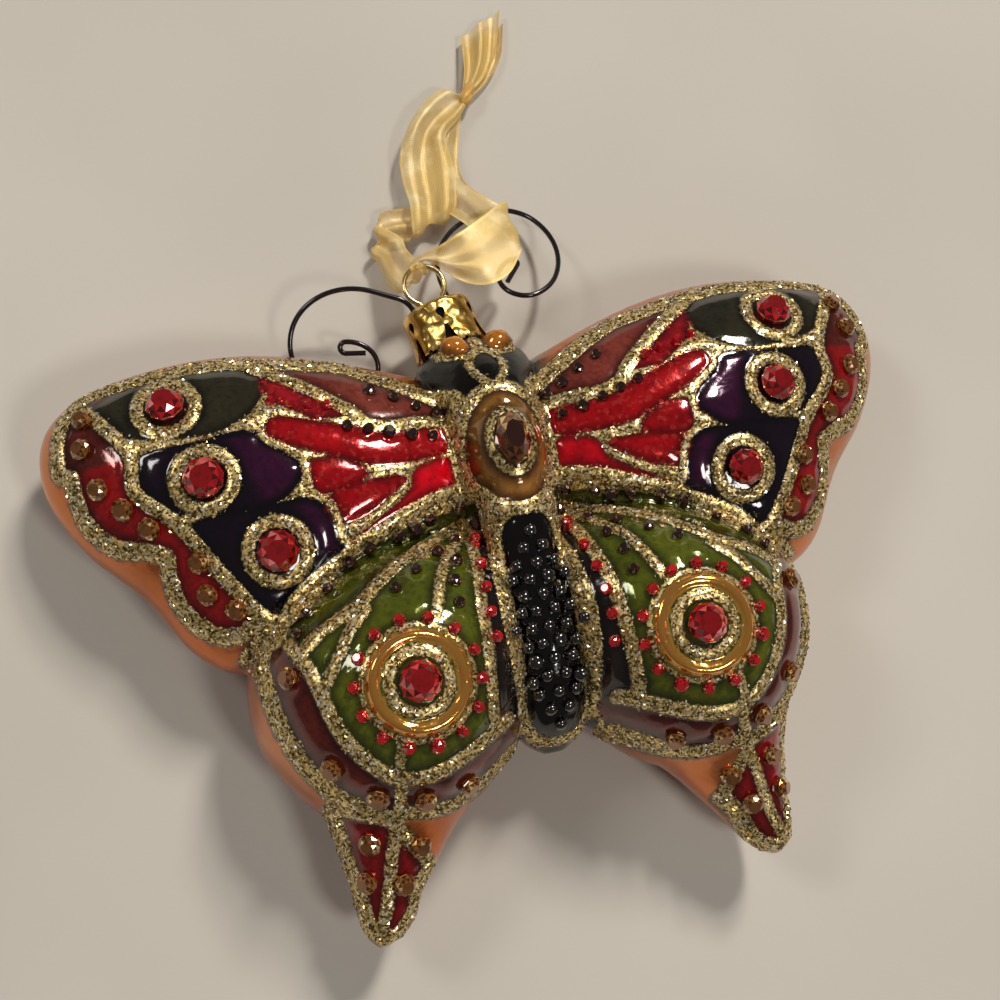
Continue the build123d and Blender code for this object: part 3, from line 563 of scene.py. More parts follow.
def gold_shade():
    s = Shade("embossed_gold")
    cells = s.cells(620.0, 0, "SMOOTH_F1")
    stamped = s.step(cells, 0.15, 0.6)
    worn = s.noise(500.0, 4.0)
    colour = s.mix(s.step(stamped, 0.2, 0.9), (0.98, 0.66, 0.20), (0.50, 0.27, 0.05))
    colour = s.mix(s.step(worn, 0.55, 0.75) * 0.4, colour, (0.25, 0.14, 0.04))
    normal = s.bump(stamped, 0.0003, 0.8, s.bump(worn, 0.00006, 0.5))
    return s.finish(Base_Color=colour, Metallic=1.0, Roughness=0.20 + worn * 0.16, Normal=normal)


def wire_shade(name, colour, metallic, roughness):
    s = Shade(name)
    worn = s.noise(700.0, 3.0)
    shade = s.mix(s.step(worn, 0.5, 0.75) * 0.5, colour, tuple(c * 0.55 for c in colour))
    return s.finish(Base_Color=shade, Metallic=metallic, Roughness=roughness + worn * 0.12,
                    Coat_Weight=0.6, Normal=s.bump(worn, 0.00003, 0.4))


def organza_shade(name, ribbon_colour, body, deep):
    """Sheer woven ribbon with a closer selvedge and a glint along its yarns."""
    s = Shade(name)
    across = s.attribute("across")
    along = s.attribute("along")
    warp = (across * YARNS).math("SINE") * 0.5 + 0.5
    weft = (along * YARNS).math("SINE") * 0.5 + 0.5
    edge = s.step((across - WEAVE_WIDTH / 2).math("ABSOLUTE"), 4.35, 4.75)
    glint = s.noise(260.0, 3.0)
    colour = s.mix(s.step(glint, 0.45, 0.75), ribbon_colour, (0.98, 0.80, 0.42))
    colour = s.mix(deep, colour, (0.72, 0.40, 0.08))
    alpha = body + warp * 0.10 + weft * 0.10 + edge * 0.45 + s.step(glint, 0.5, 0.8) * 0.15
    alpha = alpha.math("MINIMUM", 1.0)
    normal = s.bump(warp + weft, 0.00003, 0.5, s.bump(glint, 0.0002, 0.5))
    return s.finish(Base_Color=colour, Roughness=0.36, Metallic=0.25, Alpha=alpha, Normal=normal,
                    Sheen_Weight=0.5, Sheen_Roughness=0.3)


def floor_shade():
    s = Shade("pale_floor")
    soft = s.noise(9.0, 3.0)
    colour = s.mix(s.step(soft, 0.3, 0.7), (0.56, 0.53, 0.485), (0.62, 0.59, 0.545))
    return s.finish(Base_Color=colour, Roughness=0.85)


def mesh_of(name, bm):
    """Mesh with a bmesh's shape, which is then freed."""
    mesh = bpy.data.meshes.new(name)
    bm.to_mesh(mesh)
    bm.free()
    return mesh


def linked(start):
    """A corner and all that its edges lead to."""
    seen = {start}
    part = [start]
    front = [start]
    while front:
        vert = front.pop()
        for edge in vert.link_edges:
            other = edge.other_vert(vert)
            if other not in seen:
                seen.add(other)
                part.append(other)
                front.append(other)
    return part


def outer_skin(source):
    """Closed copy of the glass without its inner wall: the bore stays, 6 mm deep."""
    bm = bmesh.new()
    bm.from_mesh(source)
    bmesh.ops.remove_doubles(bm, verts=bm.verts, dist=2e-6)
    cut = NECK_ROOT + NECK_AXIS * BORE_END
    geometry = bm.verts[:] + bm.edges[:] + bm.faces[:]
    bmesh.ops.bisect_plane(bm, geom=geometry, plane_co=cut, plane_no=NECK_AXIS, dist=1e-7)
    inner = []
    for face in bm.faces:
        off = face.calc_center_median() - NECK_ROOT
        along = off.dot(NECK_AXIS)
        radius = (off - NECK_AXIS * along).length
        if BORE_START < along < BORE_END and radius < BORE_REACH:
            inner.append(face)
    bmesh.ops.delete(bm, geom=inner, context="FACES")
    outside = set(linked(max(bm.verts, key=lambda v: v.co.x)))
    bmesh.ops.delete(bm, geom=[v for v in bm.verts if v not in outside], context="VERTS")
    rim = [e for e in bm.edges if e.is_boundary]
    if rim:
        bmesh.ops.holes_fill(bm, edges=rim, sides=0)
    bmesh.ops.recalc_face_normals(bm, faces=bm.faces)
    return mesh_of("outer_skin", bm)


def loose_parts(node):
    """Corners of each separate solid of a CAD node."""
    bm = bmesh.new()
    bm.from_mesh(node.data)
    bmesh.ops.remove_doubles(bm, verts=bm.verts, dist=1e-6)
    seen = set()
    parts = []
    for start in bm.verts:
        if start not in seen:
            part = linked(start)
            seen.update(part)
            parts.append(np.array([v.co for v in part]))
    bm.free()
    return parts


def stone_circles():
    """Centre and radius of every CAD stone."""
    circles = []
    for name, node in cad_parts.items():
        if not (name.endswith("stones") or name.endswith("rubies") or name == "thorax_navette"):
            continue
        for pts in loose_parts(node):
            middle = (pts.min(0) + pts.max(0)) / 2
            radius = np.hypot(pts[:, 0] - middle[0], pts[:, 1] - middle[1]).max()
            circles.append((middle[0], middle[1], radius))
    return circles


def cut_stone(bm, pts, profile, sides=10):
    """Adds a finer stone in the place of a CAD stone, from its corners, with a seat under it."""
    middle = pts.mean(0)
    table_way = np.linalg.svd(pts - middle)[2]
    heights = (pts - middle) @ table_way.T
    spans = heights.max(0) - heights.min(0)
    order = np.argsort(-spans)
    long_way, wide_way, up = (table_way[k] for k in order)
    if up[2] < 0:
        up = -up
    along = (pts - middle) @ up
    floor = middle + up * along.min()
    height = along.max() - along.min()
    flat = pts - floor - np.outer((pts - floor) @ up, up)
    half_long = np.abs(flat @ long_way).max() * STONE_FIT
    half_wide = np.abs(flat @ wide_way).max() * STONE_FIT
    if half_wide > ROUND_ENOUGH * half_long:
        half_wide = half_long = min(half_long, half_wide)
    else:
        half_long *= NAVETTE_DRAWN[0]
        half_wide *= NAVETTE_DRAWN[1]
    rows = []
    for share, rise, turn in [(SEAT_SHARE, -SEAT_DEPTH / height, 0), *profile]:
        row = []
        for k in range(sides):
            angle = 2 * math.pi * (k + 0.5 * turn) / sides
            row.append(bm.verts.new(
                floor + up * height * rise * STONE_FIT
                + long_way * half_long * share * math.cos(angle)
                + wide_way * half_wide * share * math.sin(angle)))
        rows.append((row, turn))
    bm.faces.new(rows[0][0][::-1])
    for (low, low_turn), (high, high_turn) in zip(rows[:-1], rows[1:]):
        for k in range(sides):
            n = (k + 1) % sides
            if low_turn == high_turn:
                bm.faces.new((low[k], low[n], high[n], high[k]))
            elif high_turn > low_turn:
                bm.faces.new((low[k], low[n], high[k]))
                bm.faces.new((low[n], high[n], high[k]))
            else:
                bm.faces.new((low[k], high[n], high[k]))
                bm.faces.new((low[k], low[n], high[n]))
    bm.faces.new(rows[-1][0])


class Paint:
    """Fields, trails and gilding of the front, worked out at places on it."""

    def __init__(self, tree):
        fixed = np.array(FIXED_MARKS)
        warp = plate_warp(*(
            np.vstack([on_wing(tree, marks, PHOTO_VIEW), fixed])
            for marks in (RIGHT_MARKS, LEFT_MARKS)))

        def fore(points):
            return warp(on_wing(tree, points, FOREWING_VIEW))

        def hind(points):
            return on_wing(tree, points, HINDWING_VIEW)

        border = on_wing(tree, FORE_BORDER, PHOTO_VIEW)
        edge = smoothed(border[:6])
        fore_border = smoothed(border[5:])
        leading, fore_hind, eyes_left, eyes_right = (
            smoothed(fore(line)) for line in (LEADING_LINE, FORE_HIND_LINE, EYES_LEFT, EYES_RIGHT))
        top, hind_border, lower, margin, strip, body, stones, leaf, panel, tail_middle = (
            smoothed(hind(line)) for line in (
                HIND_TOP, HIND_BORDER, HIND_LOWER, MARGIN_LINE, STRIP_LINE, BODY_LINE,
                STONE_STRIP_LINE, LEAF_LINE, PANEL_LINE, TAIL_MIDDLE))
        tail = hind(TAIL)
        rounded = [
            ("ray", RAY_ONE), ("ray", RAY_TWO), ("ray", RAY_THREE), ("bright ray", RAY_FOUR),
            ("eye one", EYE_ONE), ("eye", EYE_TWO), ("eye", EYE_THREE)]
        self.shapes = [("triangle", fore(TRIANGLE))]
        self.shapes += [(name, smoothed(fore(points), closed=True)) for name, points in rounded]
        self.outer = np.vstack([eyes_right, fore_border[::-1]])
        hind_zone = np.vstack([top, hind_border, lower, body[::-1]])
        self.zones = [np.vstack([edge, fore_border, fore_hind[::-1]]), hind_zone, tail]
        self.fields = [
            ("leading", np.vstack([leading, edge[::-1]])), ("outer", self.outer), ("tail", tail),
            ("stone strip", np.vstack([stones, body[::-1]])),
            ("olive strip", np.vstack([top[:-6], strip[::-1]])),
            ("olive", np.vstack([strip, margin, stones[::-1]])), ("margin", hind_zone)]
        self.medallion = ellipse(*MEDALLION)
        self.abdomen = ellipse(*ABDOMEN, point=0.55)
        open_lines = [
            (leading, 0.9), (edge, 1.2), (fore_border, 1.05), (fore_hind, 0.8), (eyes_left, 0.45),
            (eyes_right, 0.9), (top, 0.7), (hind_border, 1.0), (lower, 0.8), (margin, 0.85),
            (strip, 0.8), (body, 0.8), (stones, 0.8), (leaf, 0.7), (panel, 0.7),
            (hind(RING_DROP), 0.6), (hind(MARGIN_DIVIDER), 0.8), (tail_middle, 0.8),
            (smoothed(HEAD_ARM), 0.55), (smoothed(HEAD_BROW), 0.45), (np.array(HEAD_SPLIT), 0.9)]
        closed_lines = [
            (tail, 0.9), (ellipse(*MEDALLION_TRAIL), 0.85),
            (ellipse(*MEDALLION_BORDER, point=1.2), 0.52),
            (ellipse(*ABDOMEN_TRAIL, point=0.55), 0.6),
            (ellipse(*RUBIES[3], 4.05, 4.05), 0.75), (ellipse(*RUBIES[3], 7.25, 7.25), 0.5)]
        closed_lines += [(ellipse(*ruby, 4.0, 4.0), 0.85) for ruby in RUBIES[:3]]
        self.lines = [(line, half, False) for line, half in open_lines]
        self.lines += [(line, half, True) for line, half in closed_lines]

    def at(self, places, heights):
        """Colour, trail depth, paint, gilding, dullness and sparkle at places in millimetres."""
        x, y = places[:, 0], places[:, 1]
        count = len(places)
        colour = np.tile(np.array(COLOURS["bare"]), (count, 1))
        dull = np.zeros(count)
        sparkle = np.zeros(count)
        chosen = np.zeros(count, bool)
        zone = (x < 7.6) & (y < 30) & (y > -44)
        for outline in self.zones:
            zone |= inside(places, outline)

        def fill(name, mask):
            colour[mask & ~chosen] = COLOURS[name]
            chosen[mask] = True

        oval = inside(places, self.medallion)
        bump = ellipse_reach(x, y, EYE_BUMP)
        head = (x < HEAD_HALF) & (y > HEAD_START)
        # Painted shade: the side wall in the notch beside the head takes the head's dark colour.
        shaded_notch = (x < NOTCH_HALF) & (y > 6.0) & ~zone
        fill("medallion", oval)
        fill("abdomen", inside(places, self.abdomen))
        fill("eye bump", bump < 1)
        fill("head", head)
        fill("end", (x < 6.0) & (y < -38.5))
        fill("head", shaded_notch)
        dull[head & (bump > 1)] = 1.0
        near = np.full(count, FAR)
        own = np.full(count, FAR)
        for name, outline in self.shapes:
            gap = distance_to(places, outline, closed=True)
            gap = np.where(inside(places, outline), -gap, gap) - SHAPE_GROWTH
            gap[x < BODY_REACH] = FAR
            own = np.where((gap < 0) & ~chosen, np.minimum(own, -gap), own)
            fill(name, gap < 0)
            near = np.minimum(near, gap)
            # These fields hold fine red glitter whose flecks are painted as glints in the shader.
            if name in ("ray", "triangle"):
                sparkle[gap < 0] = 0.8
        for name, outline in self.fields:
            mask = inside(places, outline)
            if name == "leading":
                dull[mask & ~chosen] = 0.75
            fill(name, mask)
        trail = own
        for line, half, closed in self.lines:
            trail = np.minimum(trail, distance_to(places, line, closed) - half)
        blank = zone & ~chosen
        trail[blank] = np.minimum(trail[blank], -np.minimum(near[blank], 0.6))
        touch = zone | (trail < 0.25)
        ruby = np.hypot(x - RUBIES[3][0], y - RUBIES[3][1])
        gilt = 1 - blend_in(np.abs(ruby - RING_RADIUS), 0.75, 0.95)
        trail = np.where(gilt > 0.3, FAR, trail)
        # The painted notch shade fades out towards the wing and down the side wall.
        shadow = (1 - blend_in(x, HEAD_HALF, NOTCH_HALF)) * blend_in(heights, -5.0, 1.0) * shaded_notch
        painted = np.where(touch, 1.0, shadow)
        for number, (ruby_x, ruby_y) in ((6, RUBIES[1]), (7, RUBIES[2])):
            share = blend_in(ruby_x - x + 0.4 * (y - ruby_y), 4.6, 7.0) * blend_in(own, 0.6, 1.6)
            share = (share * inside(places, self.shapes[number][1]))[:, None]
            colour = colour * (1 - share) + np.array(COLOURS["purple"]) * share
        colour[inside(places, self.outer) & (y > 8.0)] = COLOURS["apex"]
        band = ellipse_reach(x, y, MEDALLION)
        band = (blend_in(np.abs(band - 0.76), 0.02, 0.24) * 0.6)[:, None]
        colour[oval] = (colour * (1 - band) + np.array(DARK_BAND) * band)[oval]
        # Behind the front only the painted notch shade stays: no enamel, trails or gilding.
        behind = heights <= FRONT_HEIGHT
        painted[behind] = shadow[behind]
        trail[behind] = FAR
        gilt[behind] = 0
        return {"paint": colour, "trail": trail, "painted": painted, "gilt": gilt,
                "gloss": dull, "sparkle": sparkle}


def put_values(mesh, name, values):
    """Stores a number or a colour at every corner of a mesh."""
    values = np.asarray(values, np.float32)
    if values.ndim == 1:
        mesh.attributes.new(name, "FLOAT", "POINT").data.foreach_set("value", values)
    else:
        full = np.ones((len(values), 4), np.float32)
        full[:, :3] = values
        layer = mesh.attributes.new(name, "FLOAT_COLOR", "POINT")
        layer.data.foreach_set("color", full.ravel())


def positions(mesh):
    pts = np.empty(len(mesh.vertices) * 3, np.float32)
    mesh.vertices.foreach_get("co", pts)
    return pts.reshape(-1, 3).astype(float)


def length_property(name, description, default):
    return bpy.props.FloatProperty(
        name=name, description=description, default=default, subtype="DISTANCE", unit="LENGTH")


def colour_property(name, description, default):
    return bpy.props.FloatVectorProperty(
        name=name, description=description, default=default, size=3, min=0.0, max=1.0,
        subtype="COLOR")


class OrnamentSizes(bpy.types.PropertyGroup):
    """Sizes and colours of the ornament's finish."""

    skin_step: length_property(
        "Skin step", "Spacing of the painted glass's points", 0.00054)
    trail_height: length_property(
        "Trail height", "How far a glitter trail stands up", 0.00032)
    enamel_height: length_property(
        "Enamel height", "How far a pool of enamel stands up", 0.00020)
    flake_size: length_property(
        "Flake size", "Distance across a glitter flake", 0.00046)
    flake_spacing: length_property(
        "Flake spacing", "Distance between glitter flakes on a full trail", 0.00058)
    ribbon_width: length_property(
        "Ribbon width", "Width of the organza ribbon", 0.010)
    bare_colour: colour_property(
        "Bare glass colour", "Colour of the copper lustre on unpainted glass",
        (0.66, 0.185, 0.045))
    glitter_colour: colour_property(
        "Glitter colour", "Colour of the lit glitter flakes", (1.0, 0.75, 0.31))
    ruby_colour: colour_property(
        "Ruby colour", "Colour of the red stones' lit facets", (0.92, 0.006, 0.014))
    ribbon_colour: colour_property(
        "Ribbon colour", "Colour of the organza ribbon", (0.82, 0.58, 0.20))


class ORNAMENT_OT_camera(bpy.types.Operator):
    """Adds the camera at the photograph's view"""

    bl_idname = "ornament.camera"
    bl_label = "Add Camera"

    def execute(self, context):
        data = bpy.data.cameras.new("photo_camera")
        data.sensor_width = 36.0
        data.lens = 36.0 * CAMERA_PIXELS / (2 * PHOTO_MIDDLE)
        data.clip_start = 0.01
        camera = new_object("photo_camera", data)
        turn = Matrix((CAMERA_RIGHT, CAMERA_UP, -CAMERA_FORWARD)).transposed().to_4x4()
        camera.matrix_world = Matrix.Translation(CAMERA_PLACE) @ turn
        context.scene.camera = camera
        return {"FINISHED"}


class ORNAMENT_OT_glass(bpy.types.Operator):
    """Builds the painted glass skin over the CAD glass"""

    bl_idname = "ornament.glass"
    bl_label = "Build Painted Glass"

    def execute(self, context):
        sizes = context.scene.ornament
        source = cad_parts["glass_shell"].data
        skin = outer_skin(source)
        tree = tree_of(skin)
        rough = new_object("skin_draft", skin)
        remesh = rough.modifiers.new("remesh", "REMESH")
        remesh.mode = "VOXEL"
        remesh.voxel_size = sizes.skin_step
        mesh = evaluated(rough)
        bpy.data.objects.remove(rough)
        pts = positions(mesh)
        for k, place in enumerate(pts):
            pts[k] = tree.find_nearest(Vector(place))[0]
        mesh.vertices.foreach_set("co", pts.astype(np.float32).ravel())
        mesh.update()
        smooth = np.empty(len(pts) * 3, np.float32)
        mesh.vertex_normals.foreach_get("vector", smooth)
        smooth = smooth.reshape(-1, 3)
        local = (pts - np.array(THORAX)) / MM
        places = np.stack([np.abs(local[:, 0]), local[:, 1]], 1)
        heights = local[:, 2] - 10.0 + 2.0 * smooth[:, 2]
        values = Paint(tree).at(places, heights)
        trail, painted = values["trail"], values["painted"]
        room = np.full(len(pts), FAR)
        for x, y, radius in stone_circles():
            room = np.minimum(room, np.hypot(pts[:, 0] - x, pts[:, 1] - y) - radius)
        room = room / MM
        free = blend_in(room, 0.15, 0.9)
        dome = blend_in(-trail, -0.1, 0.6)
        pool = blend_in(trail, 0.1, 1.6) * painted * (values["gilt"] < 0.3)
        rise = (dome * sizes.trail_height * painted + pool * sizes.enamel_height) * free
        rng = np.random.default_rng(7)
        rise = rise * (1 + TRAIL_GRAIN * rng.standard_normal(len(pts)) * (dome > 0.5))
        # Nothing stands up on the neck where the cap slides
        axis = np.array(NECK_AXIS)
        off = pts - np.array(NECK_ROOT)
        along = off @ axis
        radius = np.linalg.norm(off - along[:, None] * axis, axis=1)
        rise[(along > CAPPED_START) & (radius < CAPPED_REACH)] = 0
        pts = pts + smooth * rise[:, None]
        mesh.vertices.foreach_set("co", pts.astype(np.float32).ravel())
        values["flakes"] = blend_in(-trail, -0.15, 0.15) * painted * blend_in(room, 0.0, 0.2)
        for name, value in values.items():
            put_values(mesh, name, value)
        for polygon in mesh.polygons:
            polygon.use_smooth = True
        mesh.materials.clear()
        mesh.materials.append(
            paint_shade(tuple(sizes.bare_colour), tuple(sizes.glitter_colour)))
        mesh.update()
        glass = new_object("painted_glass", mesh)
        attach(glass, "glass")
        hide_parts("glass_shell")
        return {"FINISHED"}


class Grower:
    """Short way to add geometry nodes and join them."""

    def __init__(self, name):
        self.group = bpy.data.node_groups.new(name, "GeometryNodeTree")

    def input(self, name, kind, value=None):
        item = self.group.interface.new_socket(name, in_out="INPUT", socket_type=kind)
        if value is not None:
            item.default_value = value
        return item.identifier

    def node(self, kind, settings=None, **inputs):
        node = self.group.nodes.new(kind)
        for key, value in (settings or {}).items():
            setattr(node, key, value)
        for key, value in inputs.items():
            self.join(node.inputs[key.replace("_", " ")], value)
        return node

    def join(self, socket, value):
        if isinstance(value, bpy.types.NodeSocket):
            self.group.links.new(value, socket)
        else:
            socket.default_value = value

    def times(self, a, b):
        node = self.node("ShaderNodeMath", {"operation": "MULTIPLY"})
        self.join(node.inputs[0], a)
        self.join(node.inputs[1], b)
        return node.outputs[0]

    def random(self, seed, low, high):
        """Random number or triple between two ends."""
        triple = isinstance(low, tuple)
        kind, first = ("FLOAT_VECTOR", 0) if triple else ("FLOAT", 2)
        node = self.node("FunctionNodeRandomValue", {"data_type": kind}, Seed=seed)
        self.join(node.inputs[first], low)
        self.join(node.inputs[first + 1], high)
        return node.outputs[first // 2]


class ORNAMENT_OT_flakes(bpy.types.Operator):
    """Scatters glitter flakes over the trails"""

    bl_idname = "ornament.flakes"
    bl_label = "Scatter Glitter Flakes"

    def execute(self, context):
        sizes = context.scene.ornament
        g = Grower("glitter_flakes")
        g.input("Geometry", "NodeSocketGeometry")
        density_id = g.input("Density", "NodeSocketFloat", 1.0)
        size_id = g.input("Size", "NodeSocketFloat", 0.0004)
        g.group.interface.new_socket("Geometry", in_out="OUTPUT", socket_type="NodeSocketGeometry")
        start = g.node("NodeGroupInput")
        weight = g.node("GeometryNodeInputNamedAttribute", {"data_type": "FLOAT"}, Name="flakes")
        amount = g.times(weight.outputs["Attribute"], start.outputs["Density"])
        scatter = g.node(
            "GeometryNodeDistributePointsOnFaces", {"distribute_method": "RANDOM"},
            Mesh=start.outputs["Geometry"], Density=amount, Seed=11)
        plate = g.node("GeometryNodeMeshCircle", {"fill_type": "NGON"}, Vertices=6, Radius=0.5)
        tilt = g.random(5, (-FLAKE_TILT, -FLAKE_TILT, 0.0), (FLAKE_TILT, FLAKE_TILT, FLAKE_TURN))
        turned = g.node(
            "FunctionNodeRotateRotation", {"rotation_space": "LOCAL"},
            Rotation=scatter.outputs["Rotation"], Rotate_By=tilt)
        scale = g.times(g.random(8, *FLAKE_SIZES), start.outputs["Size"])
        copies = g.node(
            "GeometryNodeInstanceOnPoints", Points=scatter.outputs["Points"],
            Instance=plate.outputs["Mesh"], Rotation=turned.outputs[0], Scale=scale)
        marked = g.node(
            "GeometryNodeStoreNamedAttribute", {"data_type": "FLOAT", "domain": "INSTANCE"},
            Geometry=copies.outputs[0], Name="tint", Value=g.random(21, 0.0, 1.0))
        real = g.node("GeometryNodeRealizeInstances", Geometry=marked.outputs[0])
        paint = g.node(
            "GeometryNodeSetMaterial", Geometry=real.outputs[0],
            Material=flake_shade(tuple(sizes.glitter_colour)))
        end = g.node("NodeGroupOutput")
        g.join(end.inputs[0], paint.outputs[0])
        host = new_object("flake_host", bpy.data.objects["painted_glass"].data.copy())
        modifier = host.modifiers.new("flakes", "NODES")
        modifier.node_group = g.group
        modifier[density_id] = 1.0 / sizes.flake_spacing ** 2
        modifier[size_id] = sizes.flake_size
        mesh = evaluated(host)
        bpy.data.objects.remove(host)
        if len(mesh.polygons) < LEAST_FLAKES:
            raise RuntimeError("too few glitter flakes")
        flakes = new_object("glitter_flakes", mesh)
        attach(flakes, "glass")
        return {"FINISHED"}


class ORNAMENT_OT_stones(bpy.types.Operator):
    """Gives the stones their cut-glass finish"""

    bl_idname = "ornament.stones"
    bl_label = "Finish Stones"

    def execute(self, context):
        ruby = tuple(context.scene.ornament.ruby_colour)
        red = crystal_shade("red_crystal", (0.12, 0.0, 0.002), ruby, (1.0, 0.30, 0.28), 0.55)
        chip = crystal_shade("red_chip", (0.55, 0.004, 0.015), ruby, ruby, 0.45)
        amber = crystal_shade("amber_crystal", (0.07, 0.02, 0.004), (0.46, 0.17, 0.025),
                              (1.0, 0.72, 0.30), 0.55)
        honey = crystal_shade("honey_crystal", (0.035, 0.007, 0.003), (0.33, 0.085, 0.012),
                              (1.0, 0.70, 0.22), 0.60)
        dark = crystal_shade("dark_crystal", (0.006, 0.002, 0.002), (0.075, 0.014, 0.009),
                             (0.45, 0.24, 0.18), 0.40)
        black = crystal_shade("black_crystal", (0.002, 0.002, 0.002), (0.012, 0.008, 0.008),
                              (0.02, 0.02, 0.02), 0.0, 0.16)
        finishes = {
            "rubies": (red, "red_crystal", 0.40), "ring_stones": (red, "red_crystal", 0.70),
            "strip_stones": (red, "red_crystal", 0.70), "tiny_stones": (chip, None, 0.0),
            "amber_stones": (amber, "amber_crystal", 0.45),
            "thorax_navette": (honey, "amber_crystal", 0.22),
            "dark_stones": (dark, "dark_crystal", 0.30),
            "abdomen_stones": (black, "black_crystal", 0.30)}
        for name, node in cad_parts.items():
            for ending, (finish, slot, table_tone) in finishes.items():
                if name.endswith(ending):
                    node.material_slots[0].material = finish
                    if slot:
                        self.recut(name, node, finish, slot, table_tone)
        return {"FINISHED"}

    def recut(self, name, node, finish, slot, table_tone):
        """Replaces a node's stones with finer cut ones, each facet with its own painted light
        tone.
        """
        bead = slot == "black_crystal"
        bm = bmesh.new()
        parts = loose_parts(node)
        for pts in parts:
            cut_stone(bm, pts, BEAD_ROWS if bead else BRILLIANT_ROWS)
        count = len(bm.faces) // len(parts)
        bmesh.ops.recalc_face_normals(bm, faces=bm.faces)
        mesh = mesh_of(name + "_cut", bm)
        mesh.materials.append(finish)
        # Painted light: the tone of each facet sets how shaded, lit and flashing it is painted;
        # the table facet takes the stone's own tone.
        tones = []
        for k, polygon in enumerate(mesh.polygons):
            tones.append(table_tone if k % count == count - 1 else k * FACET_STEP % 1.0)
            polygon.use_smooth = bead
        mesh.attributes.new("facet", "FLOAT", "FACE").data.foreach_set("value", tones)
        stones = new_object(name + "_cut", mesh)
        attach(stones, "glass")
        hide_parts(name)


class ORNAMENT_OT_metal(bpy.types.Operator):
    """Gives the cap, the hanger and the feelers their finish"""

    bl_idname = "ornament.metal"
    bl_label = "Finish Cap and Wires"

    def execute(self, context):
        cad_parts["ornament_cap"].material_slots[0].material = gold_shade()
        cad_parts["hanger_wire"].material_slots[0].material = wire_shade(
            "pale_gold_wire", (0.86, 0.66, 0.30), 1.0, 0.16)
        black = wire_shade("black_wire", (0.012, 0.009, 0.014), 0.4, 0.18)
        for name in ("left_feeler", "right_feeler"):
            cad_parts[name].material_slots[0].material = black
        return {"FINISHED"}


def woven(name, points, faces, across, along):
    """Mesh of a length of ribbon, with its weave coordinates in millimetres."""
    mesh = bpy.data.meshes.new(name)
    mesh.from_pydata(points, [], faces)
    put_values(mesh, "across", across)
    put_values(mesh, "along", along)
    return mesh


def ribbon_mesh(name, rows, width, columns=20):
    """Smooth pleated strip through rows of edge points, and its length."""
    table = smoothed(np.array(rows).reshape(len(rows), 6))
    left = table[:, :3] * MM + np.array(THORAX)
    right = table[:, 3:] * MM + np.array(THORAX)
    middle = (left + right) / 2
    travel = np.concatenate([[0], np.cumsum(np.linalg.norm(np.diff(middle, axis=0), axis=1))])
    flow = np.gradient(middle, axis=0)
    normal = np.cross(right - left, flow)
    normal /= np.maximum(np.linalg.norm(normal, axis=1), 1e-12)[:, None]
    points, across, along = [], [], []
    for k in range(len(table)):
        span = np.linalg.norm(right[k] - left[k])
        spare = math.sqrt(max(1 - span / width, 0.01))
        pleat = min(PLEAT_DEPTH * spare, PLEAT_SHARE * span)
        sway = PLEAT_SWAY * math.sin(travel[k] * PLEAT_SWAY_RATE)
        for t in np.linspace(0, 1, columns + 1):
            lift = pleat * math.cos(t * PLEAT_WAVES * math.pi + PLEAT_START + sway)
            points.append(tuple(left[k] * (1 - t) + right[k] * t + normal[k] * lift))
            across.append(t * WEAVE_WIDTH)
            along.append(travel[k] / MM)
    faces = []
    for k in range(len(table) - 1):
        for c in range(columns):
            a = k * (columns + 1) + c
            faces.append((a, a + 1, a + columns + 2, a + columns + 1))
    mesh = woven(name, points, faces, across, along)
    for polygon in mesh.polygons:
        polygon.use_smooth = True
    return mesh, float(travel[-1])


def knot_mesh(name):
    """Ribbon wound tight on itself: creases that spiral round a flattened lump."""
    points, across, along = [], [], []
    lean_x, lean_y = math.cos(KNOT_TURN), math.sin(KNOT_TURN)
    for i in range(KNOT_RINGS + 1):
        rise = math.pi * i / KNOT_RINGS
        waist = 1 - 0.16 * math.exp(-((rise - math.pi / 2) / 0.35) ** 2)
        for k in range(KNOT_SIDES):
            angle = 2 * math.pi * k / KNOT_SIDES
            crease = abs(math.sin(2.5 * angle + 2.2 * rise))
            swell = 0.80 + 0.20 * crease ** 0.6
            x = KNOT_HALF[0] * math.cos(rise)
            y = KNOT_HALF[1] * math.sin(rise) * math.cos(angle) * swell * waist
            z = KNOT_HALF[2] * math.sin(rise) * math.sin(angle) * swell * waist
            points.append(Vector((
                KNOT_MIDDLE[0] + x * lean_x - y * lean_y,
                KNOT_MIDDLE[1] + x * lean_y + y * lean_x,
                KNOT_MIDDLE[2] + z)) * MM + THORAX)
            across.append(5.0 * crease)
            along.append(3.0 * i / KNOT_RINGS)
    faces = []
    for i in range(KNOT_RINGS):
        for k in range(KNOT_SIDES):
            a = i * KNOT_SIDES + k
            b = i * KNOT_SIDES + (k + 1) % KNOT_SIDES
            faces.append((a, a + KNOT_SIDES, b + KNOT_SIDES, b))
    mesh = woven(name, points, faces, across, along)
    bm = bmesh.new()
    bm.from_mesh(mesh)
    bmesh.ops.remove_doubles(bm, verts=bm.verts, dist=1e-6)
    bmesh.ops.recalc_face_normals(bm, faces=bm.faces)
    for face in bm.faces:
        face.smooth = True
    bm.to_mesh(mesh)
    bm.free()
    return mesh


